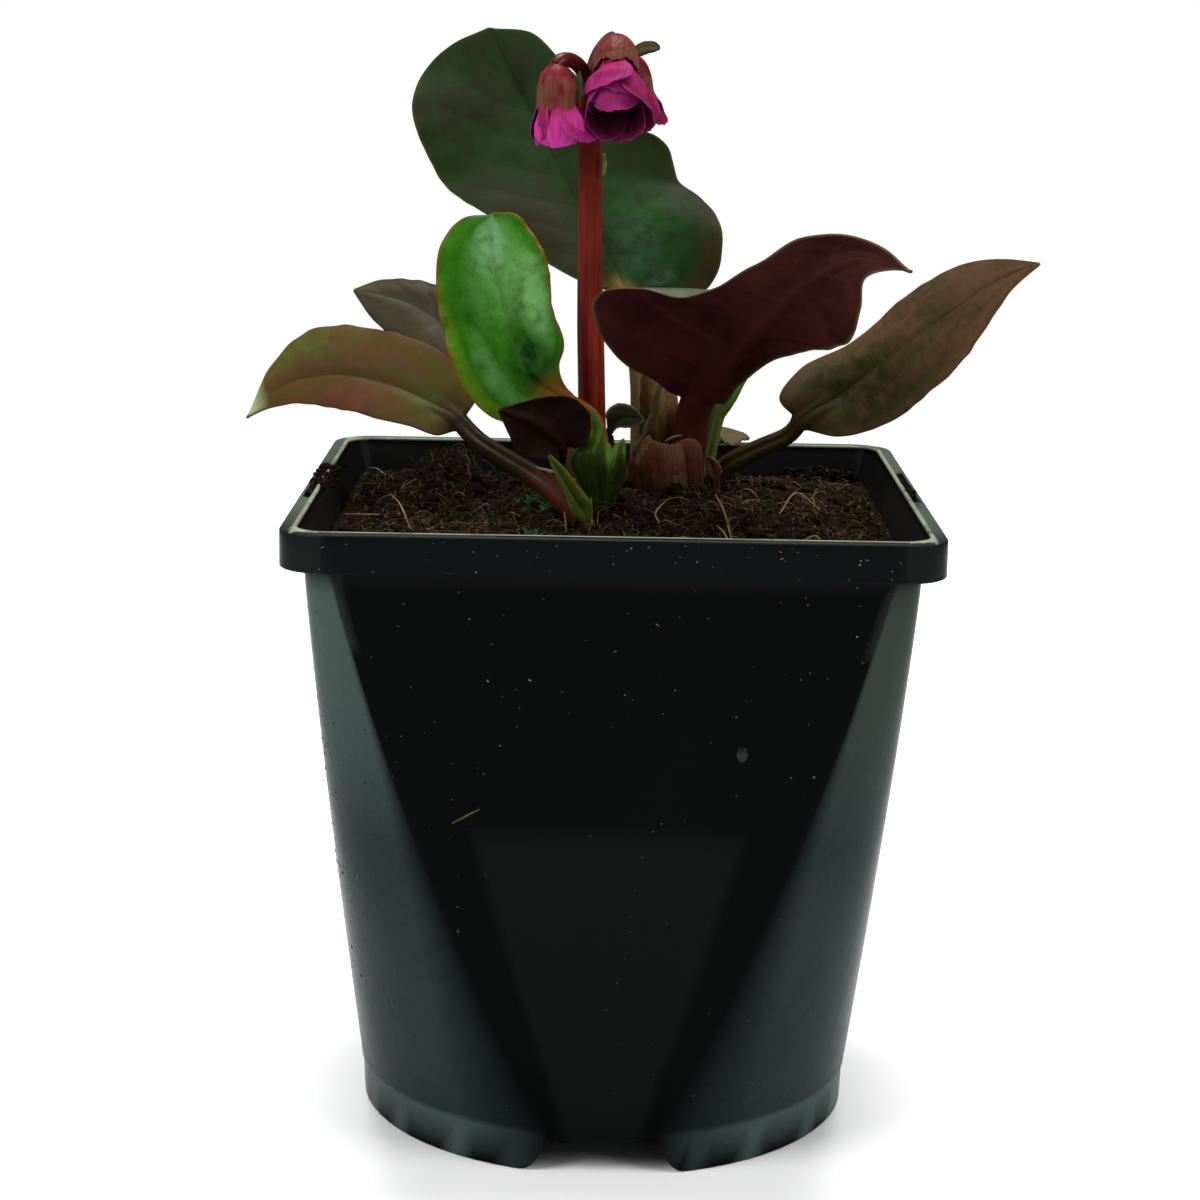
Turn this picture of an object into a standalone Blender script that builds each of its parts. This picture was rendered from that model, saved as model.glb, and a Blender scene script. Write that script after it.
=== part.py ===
"""A young bergenia in a square nursery pot: pot, compost, crown, leaves, flower scape and three blooms.

Run with: blender --background --python part.py
The origin is on the surface that the pot stands on, under the pot's axis. -Y is the front, +Z is up.
"""

import math

import bmesh
import bpy
import numpy as np
from mathutils import Vector, noise

MM = 0.001  # the tables below are in millimetres, and the scene is in metres
CREASE = 40.0  # faces that meet more sharply than this, in degrees, keep a hard edge

# Pot: square at the rim, round at the foot.
POT_HEIGHT = 114.0
RIM_HALF = 55.0  # half the rim's outer width
RIM_FLAT = 47.0  # half the straight length of a rim side, so the corner radius is 8
RIM_BAND = 6.6
RIM_TOP_THICK = 1.2
SKIRT_THICK = 0.7
LIP_HALF = 52.0  # inner edge of the rim's top
LIP_THICK = 0.7
BODY_TOP_HALF = 51.0
BODY_TOP_FLAT = 46.0
BODY_FOOT_HALF = 45.1
LEAST_FLAT = 0.5  # keeps the round foot's corners apart
LEAST_CORNER = 1.0  # least radius of a corner
FLAT_FALL = 1.32  # how the flat of each side narrows towards the foot
WALL = 1.2
STEP_HEIGHT = 7.6
STEP_INSET = 0.3
STEP_DROP = 0.3  # height over which the foot's step runs back
FOOT_HALF = 44.5
FOOT_RING = 1.6
FLOOR_UNDER = 6.4
FLOOR_TOP = 7.8
FOOT_TAPER = 0.6  # how much wider the foot's inside is at the floor than at the ground
RIM_BEVEL = 0.6
LIP_BEVEL = 0.3
CORNER_STEPS = 7
BODY_LEVELS = 6
LEVEL_CROWDING = 1.4  # above 1, the wall's sections lie closer together near the foot
SLOT_LENGTH = 38.0
SLOT_MARGIN = 0.12
NOTCH_OUTLINE = ((9.9, 6.2), (10.9, 3.3), (12.0, 1.4), (13.2, 0.45), (15.0, -1.0))  # x, z
DRAIN_COUNT = 6
DRAIN_RADIUS = 3.5
DRAIN_CIRCLE = 31.0
DRAIN_SIDES = 10
SLOT_CUT = 3.0  # how deep the slots' cutters reach from the rim's top
NOTCH_CUT = (8.0, 3.0)  # how far the notches' cutters reach inside and outside the foot's ring
CUT_PAST = 1.0  # how far a cutter reaches past a face that it leaves by

# Compost.
GAP = 0.3
SOIL_LEVEL = 107.4
MOUNDS = ((7, 7, 5.4, 17), (-31, 32, 3.6, 9), (35, 24, 2.4, 8), (24, -30, 1.2, 10))  # x, y, height and spread
LUMPS = ((14.0, 1.6), (6.0, 0.8))  # size across and height of each layer of lumps
HOLE_REACH = 8.0  # how far above the compost's level the stem holes' cutters end
SOIL_RINGS = 7
SOIL_SHOULDER = 5.0  # how far below its level the compost's highest side section lies
EDGE_FADE = 6  # the higher, the closer to the wall the lumps die away
HOLE_CLEARANCE = 0.35
SCAPE_HOLE_EXTRA = 0.1

# Leaves.
BLADE = 0.7
EDGE_STALK = 0.5
TIP_HALF = 0.35
BLADE_COLUMNS = (-1.0, -0.58, -0.15, 0.0, 0.15, 0.58, 1.0)
STALK_COLUMNS = tuple(math.sin(math.pi / 2 * k / 3) for k in range(-3, 4))
STALK_STEPS = 6
FLAT_FROM = 0.25  # share of the blade over which the stalk's round section turns flat
RIB_ABOVE = 0.2  # share of the blade over which the rib sinks into its upper face
RIB_MARGIN = 0.3
WAVE_SHIFT = 1.7  # how far the right margin's waves are out of step with the left's
HOLE_SIDES = 9

# Each leaf: its stalk from under the soil, then the blade's midrib, left and right margins from base to tip,
# as seen on the upper face. width and thick are the stalk's at its top, and foot is how much wider its base is.
LEAVES = {
    "leaf_back": dict(
        stalk=((6.5, 18.5, 99), (6.0, 18.5, 112), (5.8, 18.5, 121.5), (5.4, 19, 131), (3.8, 20, 140.5)),
        midrib=((1.5, 21, 146.5), (-2.5, 25, 155), (-9, 32, 164.5), (-16.5, 41, 178), (-22, 46, 188),
                (-25, 48, 194)),
        left=((-3.5, 18, 148), (-13.5, 20, 153), (-22, 24, 159), (-30, 28, 163.5), (-36, 33, 171),
              (-39, 38, 179.5), (-37, 43, 186), (-31.5, 46, 191)),
        right=((8, 18, 147), (15, 17, 148), (18.5, 20, 156.5), (16, 26, 163), (11, 30, 167), (8.5, 33, 173.5),
               (3.5, 34, 176), (-3.5, 37, 181), (-11.5, 42, 188.5), (-17.5, 46, 193.5)),
        width=5.0, thick=2.6, foot=1.15, arch=0.05, wave=0.5, waves=3.5, steps=15,
    ),
    "leaf_green": dict(
        stalk=((-1.7, -4.4, 99), (-1.8, -4.4, 112), (-2.2, -4.6, 120), (-3.8, -5.0, 126.5)),
        midrib=((-8, -6, 129.5), (-14, -5.5, 133.5), (-19, -3, 142.5), (-22, 1, 153), (-23, 6, 162.5)),
        left=((-15, -8, 126.5), (-20.5, -8, 127), (-26.5, -7, 132), (-30, -5, 140), (-32, -2, 150.5),
              (-31.5, 1, 156.5), (-27.5, 4, 161)),
        right=((-9.5, -7, 131.5), (-10.5, -8, 135.5), (-9.5, -8, 139), (-11.5, -6, 146), (-12.5, -2, 154),
               (-15.5, 2, 159), (-19, 5, 162)),
        width=3.0, thick=2.2, foot=1.1, arch=0.10, wave=0.4, waves=3.0, steps=12,
    ),
    "leaf_left": dict(
        stalk=((-3.6, -10.8, 103), (-5.6, -10.9, 109.6), (-10.3, -8.8, 113.8), (-19.6, -1, 118.5),
               (-24.8, 4, 121)),
        midrib=((-28, 7, 123.5), (-34, 10, 127), (-41.5, 14, 129.5), (-53, 19, 130.5), (-62.5, 23, 127.5),
                (-69, 25, 121.5)),
        left=((-31.5, 5, 122.5), (-36.5, 7, 123.5), (-43, 10, 124), (-50.5, 14, 125), (-58.5, 19, 125),
              (-65, 23, 123.5)),
        right=((-26, 10, 127), (-27.5, 12, 131), (-31.5, 14, 134.5), (-37, 17, 137), (-43, 20, 138.5),
               (-51.5, 24, 139), (-59.5, 27, 136.5), (-64.5, 28, 131.5)),
        width=3.4, thick=2.8, foot=1.4, arch=0.08, wave=0.4, waves=3.0, steps=12,
    ),
    "leaf_rear_left": dict(
        stalk=((-4.5, 9.5, 100), (-4.8, 9.8, 110), (-9, 12, 118), (-13.5, 15, 123.5), (-19.5, 19, 128.5)),
        midrib=((-23.5, 22, 131.5), (-30, 27, 137.5), (-39, 33, 142.5), (-50, 37, 144.5)),
        left=((-26, 18, 130), (-32.5, 22, 133), (-40.5, 28, 136), (-47, 34, 140.5)),
        right=((-23.5, 26, 136.5), (-28.5, 31, 143), (-34, 35, 146), (-41.5, 38, 146.5), (-46, 39, 146)),
        width=3.4, thick=2.4, foot=1.3, arch=0.08, wave=0.4, waves=2.5, steps=10,
    ),
    "leaf_maroon": dict(
        stalk=((13.6, 10.4, 99), (13.8, 10.4, 110), (13.8, 9.8, 120), (14.2, 8, 125.5)),
        midrib=((15.3, 6, 129), (19.5, 0, 136.5), (25.5, -9, 145.5), (33, -19, 154), (41, -27, 158),
                (48.5, -33, 156)),
        left=((16.6, 5, 128.5), (20.1, 2, 132), (26.6, -5, 137.5), (35.6, -13, 140.5), (40, -19, 143),
              (41, -24, 148.5), (41.5, -28, 154.5), (45.5, -31, 156)),
        right=((13.5, 6, 129.5), (10.2, 2, 132), (3.0, -4, 136.5), (-2, -9, 142.5), (-3, -13, 149),
               (4, -15, 150.5), (12.5, -17, 149.5), (22.5, -22, 155), (31.5, -26, 161), (38.5, -29, 161.5),
               (44.5, -31, 159.5)),
        width=6.4, thick=3.0, foot=0.86, arch=0.05, wave=0.3, waves=3.0, steps=15,
    ),
    "leaf_right": dict(
        stalk=((15.6, 17.0, 102), (17.2, 16.8, 110), (21, 15.2, 115.2), (27.5, 12.4, 119.4),
               (32.3, 10.4, 122.2)),
        midrib=((34, 9, 124.5), (42.5, 5, 131.5), (50.5, -2, 139.5), (59, -12, 148), (65, -22, 154),
                (70, -31, 157.5)),
        left=((31, 10, 127.5), (34, 10, 133), (42.5, 6, 139), (49, 1, 146), (54, -6, 151.5), (59, -14, 155.5),
              (65.5, -24, 157.5)),
        right=((40, 5, 123.5), (48, 1, 126), (55.5, -6, 132.5), (60.5, -13, 139.5), (64, -19, 146.5),
               (67, -26, 153.5)),
        width=3.2, thick=2.6, foot=1.4, arch=0.10, wave=0.3, waves=2.5, steps=12,
    ),
    "leaf_young_maroon": dict(
        stalk=((-10, -4.2, 101), (-10, -4.2, 111), (-9.8, -5.4, 117.4)),
        midrib=((-9.2, -9.0, 121.8), (-11, -11.5, 124.4), (-14, -14, 127), (-20, -17, 129.5)),
        left=((-6.0, -10.4, 121.8), (-4.4, -10.8, 125), (-4.8, -11.2, 128.4), (-7.5, -12.2, 131),
              (-11, -13.8, 131.5), (-15, -15.4, 131)),
        right=((-11, -11.6, 120.6), (-13.5, -12.6, 120.6), (-16.8, -14.4, 122), (-18.5, -16, 125.5)),
        width=1.8, thick=1.6, foot=1.1, arch=0.10, wave=0.2, waves=2.0, steps=8,
    ),
    "leaf_young_green": dict(
        stalk=((18, 24.5, 101), (17.6, 24.5, 112), (19, 24, 121.5)),
        midrib=((19.5, 24, 123.5), (22.5, 23, 129.5), (26, 22, 136), (29.5, 20, 143.5)),
        left=((18.5, 22, 126.5), (20, 21, 131.5), (24, 19, 138.5)),
        right=((21.5, 22, 126), (24.5, 21, 131), (28, 20, 137.5)),
        width=2.8, thick=1.8, foot=1.2, arch=0.0, wave=0.0, waves=1.0, steps=7,
    ),
    "leaf_old": dict(
        stalk=((13, 27, 101), (13.2, 27.5, 109), (15, 31, 114), (18.5, 37, 116.0)),
        midrib=((20, 41, 116.4), (23.4, 48.6, 116.4), (26, 55, 115.6)),
        left=((18, 43, 117.2), (19.6, 49, 117.4), (23, 54, 116.6)),
        right=((22, 40, 115.8), (25, 44.5, 115.6), (27, 50, 115.5)),
        width=2.4, thick=1.8, foot=1.3, arch=0.06, wave=0.2, waves=2.0, steps=7,
    ),
    "bud_sheath": dict(
        stalk=((-2.4, -7.3, 101), (-2.4, -7.3, 107), (-2.4, -7.4, 112)),
        midrib=((-2.6, -7.6, 114), (-3.0, -8.4, 118), (-3.0, -8.4, 123), (-4.4, -8.4, 129.6)),
        left=((-5.6, -6.6, 115.4), (-7.4, -6.6, 119.6), (-6.8, -7.0, 121.6), (-4.4, -8.0, 124.6),
              (-4.8, -8.3, 127.4)),
        right=((0.8, -6.4, 115.6), (2.2, -6.4, 119.0), (2.0, -6.6, 121.4), (-0.4, -7.6, 124.8),
               (-2.6, -8.2, 127.6)),
        width=6.0, thick=2.2, foot=1.0, arch=-0.2, wave=0.0, waves=2.0, steps=9,
    ),
    "leaf_folded": dict(
        stalk=((-0.2, -1.7, 101), (-0.2, -1.7, 112), (-0.6, -1.8, 121)),
        midrib=((-0.8, -2.2, 124), (1.4, -2.8, 126.4), (5.2, -2.2, 126.2)),
        left=((-1.2, -3.0, 127.6), (0.4, -3.2, 129.0), (3.4, -2.8, 128.4)),
        right=((0.4, -2.8, 124.2), (2.4, -3.0, 123.6), (4.2, -2.6, 124.2)),
        width=1.5, thick=1.2, foot=1.0, arch=0.05, wave=0.0, waves=2.0, steps=6,
    ),
    "scale_green": dict(
        stalk=((-3.8, -13.9, 101), (-3.8, -13.9, 107)),
        midrib=((-4.6, -14.0, 110), (-6.9, -14.3, 114), (-9.3, -14.6, 118), (-11.3, -15.0, 121.3)),
        left=((-6.2, -14.5, 111), (-8.5, -14.8, 114.8), (-10.4, -15.0, 118.4)),
        right=((-3.0, -14.5, 112.2), (-4.9, -14.8, 116.4), (-7.9, -15.0, 119.7)),
        width=3.0, thick=1.4, foot=1.0, arch=0.1, wave=0.0, waves=1.0, steps=6,
    ),
    "sheath_red": dict(
        stalk=((19.2, 11.4, 102), (19.2, 11.4, 108), (19.0, 11.4, 112)),
        midrib=((18.8, 11.4, 113.6), (18.2, 11.4, 115.6), (17.4, 11.5, 117.6)),
        left=((17.8, 11.0, 114.6), (17.2, 11.2, 116.0)),
        right=((19.8, 11.0, 114.8), (19.2, 11.2, 116.6)),
        width=1.8, thick=1.2, foot=1.0, arch=0.0, wave=0.0, waves=1.0, steps=5,
    ),
}

# Old leaf bases that stay on the crown, each a short blade with its root sunk into the stump.
SHEATHS = {
    "sheath_brown": dict(
        stalk=((7.6, 12.6, 106), (8.0, 12.4, 113)),
        midrib=((8.2, 12.2, 117), (8.8, 12.4, 123), (8.9, 12.6, 129)),
        left=((6.2, 12.8, 119), (6.8, 13.0, 124), (7.8, 12.8, 128)),
        right=((10.4, 12.8, 118), (10.6, 12.8, 123), (9.8, 12.6, 128)),
        width=3.4, thick=2.0, foot=1.1, arch=-0.1, wave=0.0, waves=1.0, steps=6,
    ),
}

# Crown: the stump and the lobe in front of it, each with its centre and the height, half length along X and
# half depth along Y of its rings.
CROWN_LOBES = (
    ((6.3, 10.8), ((98, 2.8, 3.2), (105, 3.9, 4.3), (112, 4.1, 4.6), (116, 3.6, 4.0), (118.6, 2.0, 2.2))),
    ((9.4, 5.9), ((99, 2.8, 1.4), (105, 4.3, 2.0), (112, 4.4, 2.1), (115, 3.7, 1.8), (116.6, 1.9, 0.9))),
)
CROWN_SIDES = 11

# Flower scape: centre line with its radius, then the stalk of each bloom.
SCAPE = ((-3.6, 2.4, 98, 2.5), (-3.6, 2.4, 112, 2.5), (-4.2, 2.0, 130, 2.45), (-4.8, 1.5, 150, 2.3),
         (-5.1, 1.2, 168, 2.1), (-5.3, 1.2, 180, 1.9), (-5.4, 1.4, 186, 1.3))
SCAPE_STEPS = 8
SCAPE_SIDES = 9
BLOOM_STALKS = (
    ((-5.6, 1.2, 183, 1.25), (-6.2, 0.3, 186.0, 1.15), (-7.5, -1.6, 188.6, 1.05), (-9.4, -4.0, 189.8, 0.95),
     (-10.9, -5.5, 189.7, 0.8)),
    ((-5.3, 1.6, 182, 1.2), (-5.2, 4.0, 187.0, 1.1), (-3.8, 5.2, 191.0, 0.95), (-2.2, 4.0, 193.0, 0.8),
     (-1.6, 2.9, 193.4, 0.7)),
    ((-5.3, 1.8, 181, 1.0), (-4.2, 5.6, 186.0, 0.9), (-2.0, 7.4, 190.4, 0.85), (-0.2, 7.4, 191.6, 0.7)),
)
STALK_SIDES = 7
STALK_RINGS = 7
BRACT = dict(
    stalk=((-0.8, 8.0, 190.6), (0.8, 5.6, 190.6)),
    midrib=((2.2, 4.4, 190.6), (4.4, 3.8, 191.6), (6.8, 3.4, 191.4)),
    left=((2.8, 4.2, 191.6), (4.6, 3.7, 192.4), (6.0, 3.4, 192.2)),
    right=((3.2, 4.0, 190.0), (4.8, 3.6, 190.4), (6.0, 3.4, 190.8)),
    width=0.9, thick=0.8, foot=1.0, arch=0.1, wave=0.0, waves=1.0, steps=5,
)

# Blooms: top of the calyx, middle of the mouth, the calyx's length and girth as shares of its profile and the
# turn of its sepals in degrees. Each petal has its direction round the axis in degrees, its length as a share
# of PETAL_LENGTH, its spread, how far its end flares out, how much its sides are drawn out and how far out it
# lies.
BLOOMS = {
    "bloom_left": dict(
        top=(-11.4, -6.0, 188.2), mouth=(-10.3, -6.2, 174.4), cup=0.87, girth=0.93, sepals=18,
        petals=((-98, 0.93, 1.05, -0.1, 0.2, 0.45), (-160, 0.90, 0.9, 0.0, 0.2, 0.0),
                (-30, 0.90, 1.0, 1.5, 0.5, 0.0), (45, 0.88, 1.1, 0.6, 0.4, 0.0),
                (122, 0.88, 1.1, 0.3, 0.2, 0.0)),
    ),
    "bloom_front": dict(
        top=(-1.0, 1.4, 192.9), mouth=(-0.8, -9.9, 181.2), cup=0.76, girth=1.04, sepals=-90,
        petals=((-116, 0.88, 1.15, 0.6, 0.3, 1.0), (-72, 1.08, 1.25, 0.3, 0.2, 0.45),
                (-6, 1.15, 1.2, 2.8, 0.3, 0.2), (62, 1.19, 1.3, 0.6, 0.2, 0.0),
                (128, 1.19, 1.3, 0.4, 0.2, 0.0), (186, 1.02, 1.0, 0.3, 0.2, 0.2)),
    ),
    "bloom_right": dict(
        top=(1.4, 7.2, 190.0), mouth=(3.4, 7.6, 177.2), cup=0.85, girth=0.93, sepals=40,
        petals=((-90, 0.84, 1.0, 0.4, 0.3, 0.2), (-20, 0.86, 1.0, 0.5, 0.5, 0.1),
                (50, 0.86, 1.0, 0.6, 0.3, 0.0), (125, 0.85, 1.0, 0.5, 0.4, 0.1),
                (200, 0.83, 1.0, 0.4, 0.2, 0.0)),
    ),
}
CALYX_PROFILE = ((0.0, 1.35), (0.8, 2.3), (2.2, 3.2), (4.4, 3.8), (7.0, 3.9))  # distance from the top, radius
CALYX_RIM = 8.6
CALYX_LOBE = 0.55
CALYX_WALL = 0.6
CALYX_FLOOR = 1.2
CALYX_EDGE = 0.8  # length of the straight edge at the calyx's rim
CALYX_SIDES = 15
PETAL_LENGTH = 15.0
PETAL_WALL = 0.6
PETAL_ROOT = ((2.6, 0.8, 30), (4.4, 1.5, 36))  # distance from the top, radius, half angle in degrees
PETAL_FREE = ((0.35, 3.9, 52), (0.72, 4.3, 54), (1.0, 4.3, 32))  # share of the free length, radius, half angle
PETAL_NECK_ANGLE = 44
PETAL_ROOM = 0.95  # from the calyx's inner face to the petals' middle at the rim
PETAL_CLEAR = 0.35  # from the lowest sepal to where the petals spread
PETAL_TURN = 0.26  # how far one edge lies outside the other, so that petals overlap
PETAL_SAG = 0.7  # how much shorter a petal is at its sides
PETAL_COLUMNS = 4
OVARY_PROFILE = ((1.7, 0.5), (2.0, 1.2), (3.4, 1.3), (5.4, 0.9), (9.0, 0.5), (11.0, 0.45))
OVARY_SIDES = 7

# Colours as linear RGB, with roughness.
FINISHES = {
    "pot": ((0.012, 0.015, 0.017), 0.35),
    "soil": ((0.018, 0.010, 0.006), 0.95),
    "crown": ((0.16, 0.05, 0.02), 0.6),
    "leaf_back": ((0.020, 0.045, 0.018), 0.4),
    "leaf_green": ((0.03, 0.18, 0.01), 0.25),
    "leaf_bronze": ((0.09, 0.05, 0.025), 0.4),
    "leaf_maroon": ((0.035, 0.005, 0.010), 0.45),
    "leaf_pale": ((0.13, 0.28, 0.03), 0.45),
    "scape": ((0.13, 0.012, 0.008), 0.45),
    "calyx": ((0.13, 0.035, 0.025), 0.5),
    "petal": ((0.28, 0.01, 0.14), 0.45),
}
FINISH_OF = {
    "leaf_back": "leaf_back",
    "leaf_green": "leaf_green",
    "leaf_left": "leaf_bronze",
    "leaf_rear_left": "leaf_bronze",
    "leaf_right": "leaf_bronze",
    "leaf_old": "leaf_bronze",
    "leaf_maroon": "leaf_maroon",
    "leaf_young_maroon": "leaf_maroon",
    "leaf_folded": "leaf_back",
    "leaf_young_green": "leaf_pale",
    "bud_sheath": "leaf_pale",
    "scale_green": "leaf_pale",
    "sheath_red": "crown",
}


def material(name):
    """The named finish as a Principled material."""
    made = bpy.data.materials.get(name) or bpy.data.materials.new(name)
    made.use_nodes = True
    colour, roughness = FINISHES[name]
    shader = made.node_tree.nodes["Principled BSDF"]
    shader.inputs["Base Color"].default_value = (*colour, 1.0)
    shader.inputs["Roughness"].default_value = roughness
    return made


def make_object(name, points, faces, finish):
    """An object from points in millimetres and faces, shaded smooth."""
    mesh = bpy.data.meshes.new(name)
    mesh.from_pydata([tuple(c * MM for c in p) for p in points], [], faces)
    mesh.update()
    mesh.shade_smooth()
    mesh.set_sharp_from_angle(angle=math.radians(CREASE))
    made = bpy.data.objects.new(name, mesh)
    made.data.materials.append(material(finish))
    bpy.context.scene.collection.objects.link(made)
    return made


def apply_boolean(target, others, operation, solver="EXACT"):
    """Joins or cuts target with every object in others, then removes them."""
    helpers = bpy.data.collections.new("helpers")
    bpy.context.scene.collection.children.link(helpers)
    for other in others:
        bpy.context.scene.collection.objects.unlink(other)
        helpers.objects.link(other)
    modifier = target.modifiers.new("boolean", "BOOLEAN")
    modifier.operand_type = "COLLECTION"
    modifier.collection = helpers
    modifier.operation = operation
    modifier.solver = solver
    bpy.context.view_layer.update()
    graph = bpy.context.evaluated_depsgraph_get()
    result = bpy.data.meshes.new_from_object(target.evaluated_get(graph))
    target.modifiers.clear()
    target.data = result
    for other in others:
        bpy.data.objects.remove(other)
    bpy.data.collections.remove(helpers)
    return target


def knots_of(points):
    """Each point's share of the polyline's length."""
    gaps = np.linalg.norm(np.diff(points, axis=0), axis=1)
    return np.concatenate([[0.0], np.cumsum(gaps)]) / gaps.sum()


def curve_at(points, places):
    """Points of a smooth curve through the given points, at places from 0 to 1 along it."""
    points = np.array(points, float)
    knots = knots_of(points)
    tangents = np.gradient(points, knots, axis=0)
    found = []
    for place in places:
        i = min(int(np.searchsorted(knots, place, side="right")) - 1, len(knots) - 2)
        span = knots[i + 1] - knots[i]
        t = (place - knots[i]) / span
        found.append(
            (2 * t**3 - 3 * t**2 + 1) * points[i]
            + (t**3 - 2 * t**2 + t) * span * tangents[i]
            + (3 * t**2 - 2 * t**3) * points[i + 1]
            + (t**3 - t**2) * span * tangents[i + 1]
        )
    return np.array(found)


def unit(vectors):
    """Vectors scaled to length 1."""
    lengths = np.linalg.norm(vectors, axis=-1, keepdims=True)
    return vectors / np.maximum(lengths, 1e-9)


def smoothstep(x):
    """A soft step from 0 to 1."""
    x = np.clip(x, 0.0, 1.0)
    return x * x * (3 - 2 * x)


def grid_normals(grid):
    """Upward normals of a grid whose rows run from base to tip and columns from left to right."""
    along = np.gradient(grid, axis=0)
    across = np.gradient(grid, axis=1)
    return unit(np.cross(across, along))


def sheet_solid(grid, above, below):
    """Points and faces of a closed sheet: the grid thickened by above and below along its normals."""
    normals = grid_normals(grid)
    rows, columns = grid.shape[:2]
    top = grid + normals * above[..., None]
    bottom = grid - normals * below[..., None]
    points = np.concatenate([top.reshape(-1, 3), bottom.reshape(-1, 3)])
    under = rows * columns

    def at(i, j):
        return i * columns + j

    faces = []
    for i in range(rows - 1):
        for j in range(columns - 1):
            a, b, c, d = at(i, j), at(i, j + 1), at(i + 1, j + 1), at(i + 1, j)
            faces += [(a, b, c), (a, c, d)]
            faces += [(under + a, under + c, under + b), (under + a, under + d, under + c)]
        left, left_on = at(i, 0), at(i + 1, 0)
        right, right_on = at(i, columns - 1), at(i + 1, columns - 1)
        faces.append((left, left_on, under + left_on, under + left))
        faces.append((right_on, right, under + right, under + right_on))
    for j in range(columns - 1):
        a, b = at(0, j), at(0, j + 1)
        faces.append((a, under + a, under + b, b))
        a, b = at(rows - 1, j), at(rows - 1, j + 1)
        faces.append((b, under + b, under + a, a))
    return points, faces


def leaf_axis(leaf):
    """The leaf's whole centre line and the place on it where the blade begins."""
    axis = np.array(leaf["stalk"] + leaf["midrib"], float)
    return axis, knots_of(axis)[len(leaf["stalk"])]


def stalk_sides(centres, side):
    """A unit vector across the stalk at each centre, turned as little as possible from side."""
    along = unit(np.gradient(centres, axis=0))
    across = side[None, :] - along * (along @ side)[:, None]
    return unit(across)


def leaf_grid(leaf):
    """Middle surface of a leaf, stalk first and then blade, and how far the solid reaches above and below."""
    axis, join = leaf_axis(leaf)
    half, thick = leaf["width"] / 2, leaf["thick"]
    u = np.linspace(0, 1, leaf["steps"])
    middle = curve_at(axis, join + (1 - join) * u)
    ends = (leaf["midrib"][0], leaf["midrib"][-1])
    left = curve_at((ends[0],) + leaf["left"] + (ends[1],), u) - middle
    right = curve_at((ends[0],) + leaf["right"] + (ends[1],), u) - middle
    side = unit(right[2] - left[2])
    seam = (half * (1 - u) ** 3 + TIP_HALF * u**4)[:, None] * side
    left, right = left - seam, right + seam

    across = unit(right - left)
    up = unit(np.cross(across, unit(np.gradient(middle, axis=0))))
    blend = smoothstep(u / FLAT_FROM)[:, None]
    columns = np.array(STALK_COLUMNS) * (1 - blend) + np.array(BLADE_COLUMNS) * blend
    share = np.abs(columns)[..., None]
    edge = np.where(columns[..., None] < 0, left[:, None, :], right[:, None, :])
    width = np.linalg.norm(edge, axis=-1, keepdims=True)
    bulge = leaf["arch"] * width * 4 * share * (1 - share)
    phase = np.where(columns[..., None] < 0, 0.0, WAVE_SHIFT)
    ripple = leaf["wave"] * np.sin(2 * math.pi * leaf["waves"] * u[:, None, None] + phase)
    ripple = ripple * share**2 * np.sin(math.pi * u)[:, None, None]
    blade = middle[:, None, :] + edge * share + up[:, None, :] * (bulge + ripple)

    reach = share[..., 0] * width[..., 0]
    rib_half = (half * (1 - u) ** 0.6 + RIB_MARGIN)[:, None]
    rib = np.sqrt(np.clip(1 - (reach / rib_half) ** 2, 0, 1)) * (thick / 2 - BLADE / 2)
    blade_below = BLADE / 2 + rib * ((1 - u) ** 0.8)[:, None]
    blade_above = BLADE / 2 + rib * (1 - smoothstep(u / RIB_ABOVE))[:, None]

    places = np.linspace(0, join, STALK_STEPS + 1)[:-1]
    centres = curve_at(axis, places)
    sides = stalk_sides(np.concatenate([centres, middle[:1]]), side)[:-1]
    grow = (leaf["foot"] + (1 - leaf["foot"]) * smoothstep(places / join))[:, None]
    offsets = np.array(STALK_COLUMNS)[None, :] * half * grow
    stalk = centres[:, None, :] + sides[:, None, :] * offsets[..., None]
    stalk_depth = np.sqrt(1 - np.array(STALK_COLUMNS) ** 2)[None, :] * thick / 2 * grow
    stalk_depth = np.maximum(stalk_depth, EDGE_STALK / 2)

    grid = np.concatenate([stalk, blade])
    return grid, np.concatenate([stalk_depth, blade_above]), np.concatenate([stalk_depth, blade_below])


def tube(points, sides):
    """Points and faces of a closed tube. Each point is x, y, z and radius."""
    points = np.array(points, float)
    centres, radii = points[:, :3], points[:, 3]
    along = unit(np.gradient(centres, axis=0))
    across = stalk_sides(centres, np.array([1.0, 0.0, 0.0]))
    over = np.cross(along, across)
    turns = np.arange(sides) * 2 * math.pi / sides
    rings = [
        centre + radius * (np.cos(turns)[:, None] * a + np.sin(turns)[:, None] * o)
        for centre, radius, a, o in zip(centres, radii, across, over)
    ]
    return loft(rings)


def loft(rings):
    """Points and faces of rings of points joined in order, with a cap at each end."""
    count = len(rings[0])
    points = np.concatenate(rings)
    faces = []
    for i in range(len(rings) - 1):
        for j in range(count):
            k = (j + 1) % count
            a, b = i * count + j, i * count + k
            faces.append((a, b, b + count, a + count))
    faces.append(tuple(reversed(range(count))))
    last = (len(rings) - 1) * count
    faces.append(tuple(range(last, last + count)))
    return points, faces


def smooth_tube(points, steps, sides):
    """A tube along a smooth curve through points that carry their radius as a fourth number."""
    return tube(curve_at(points, np.linspace(0, 1, steps)), sides)


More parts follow.
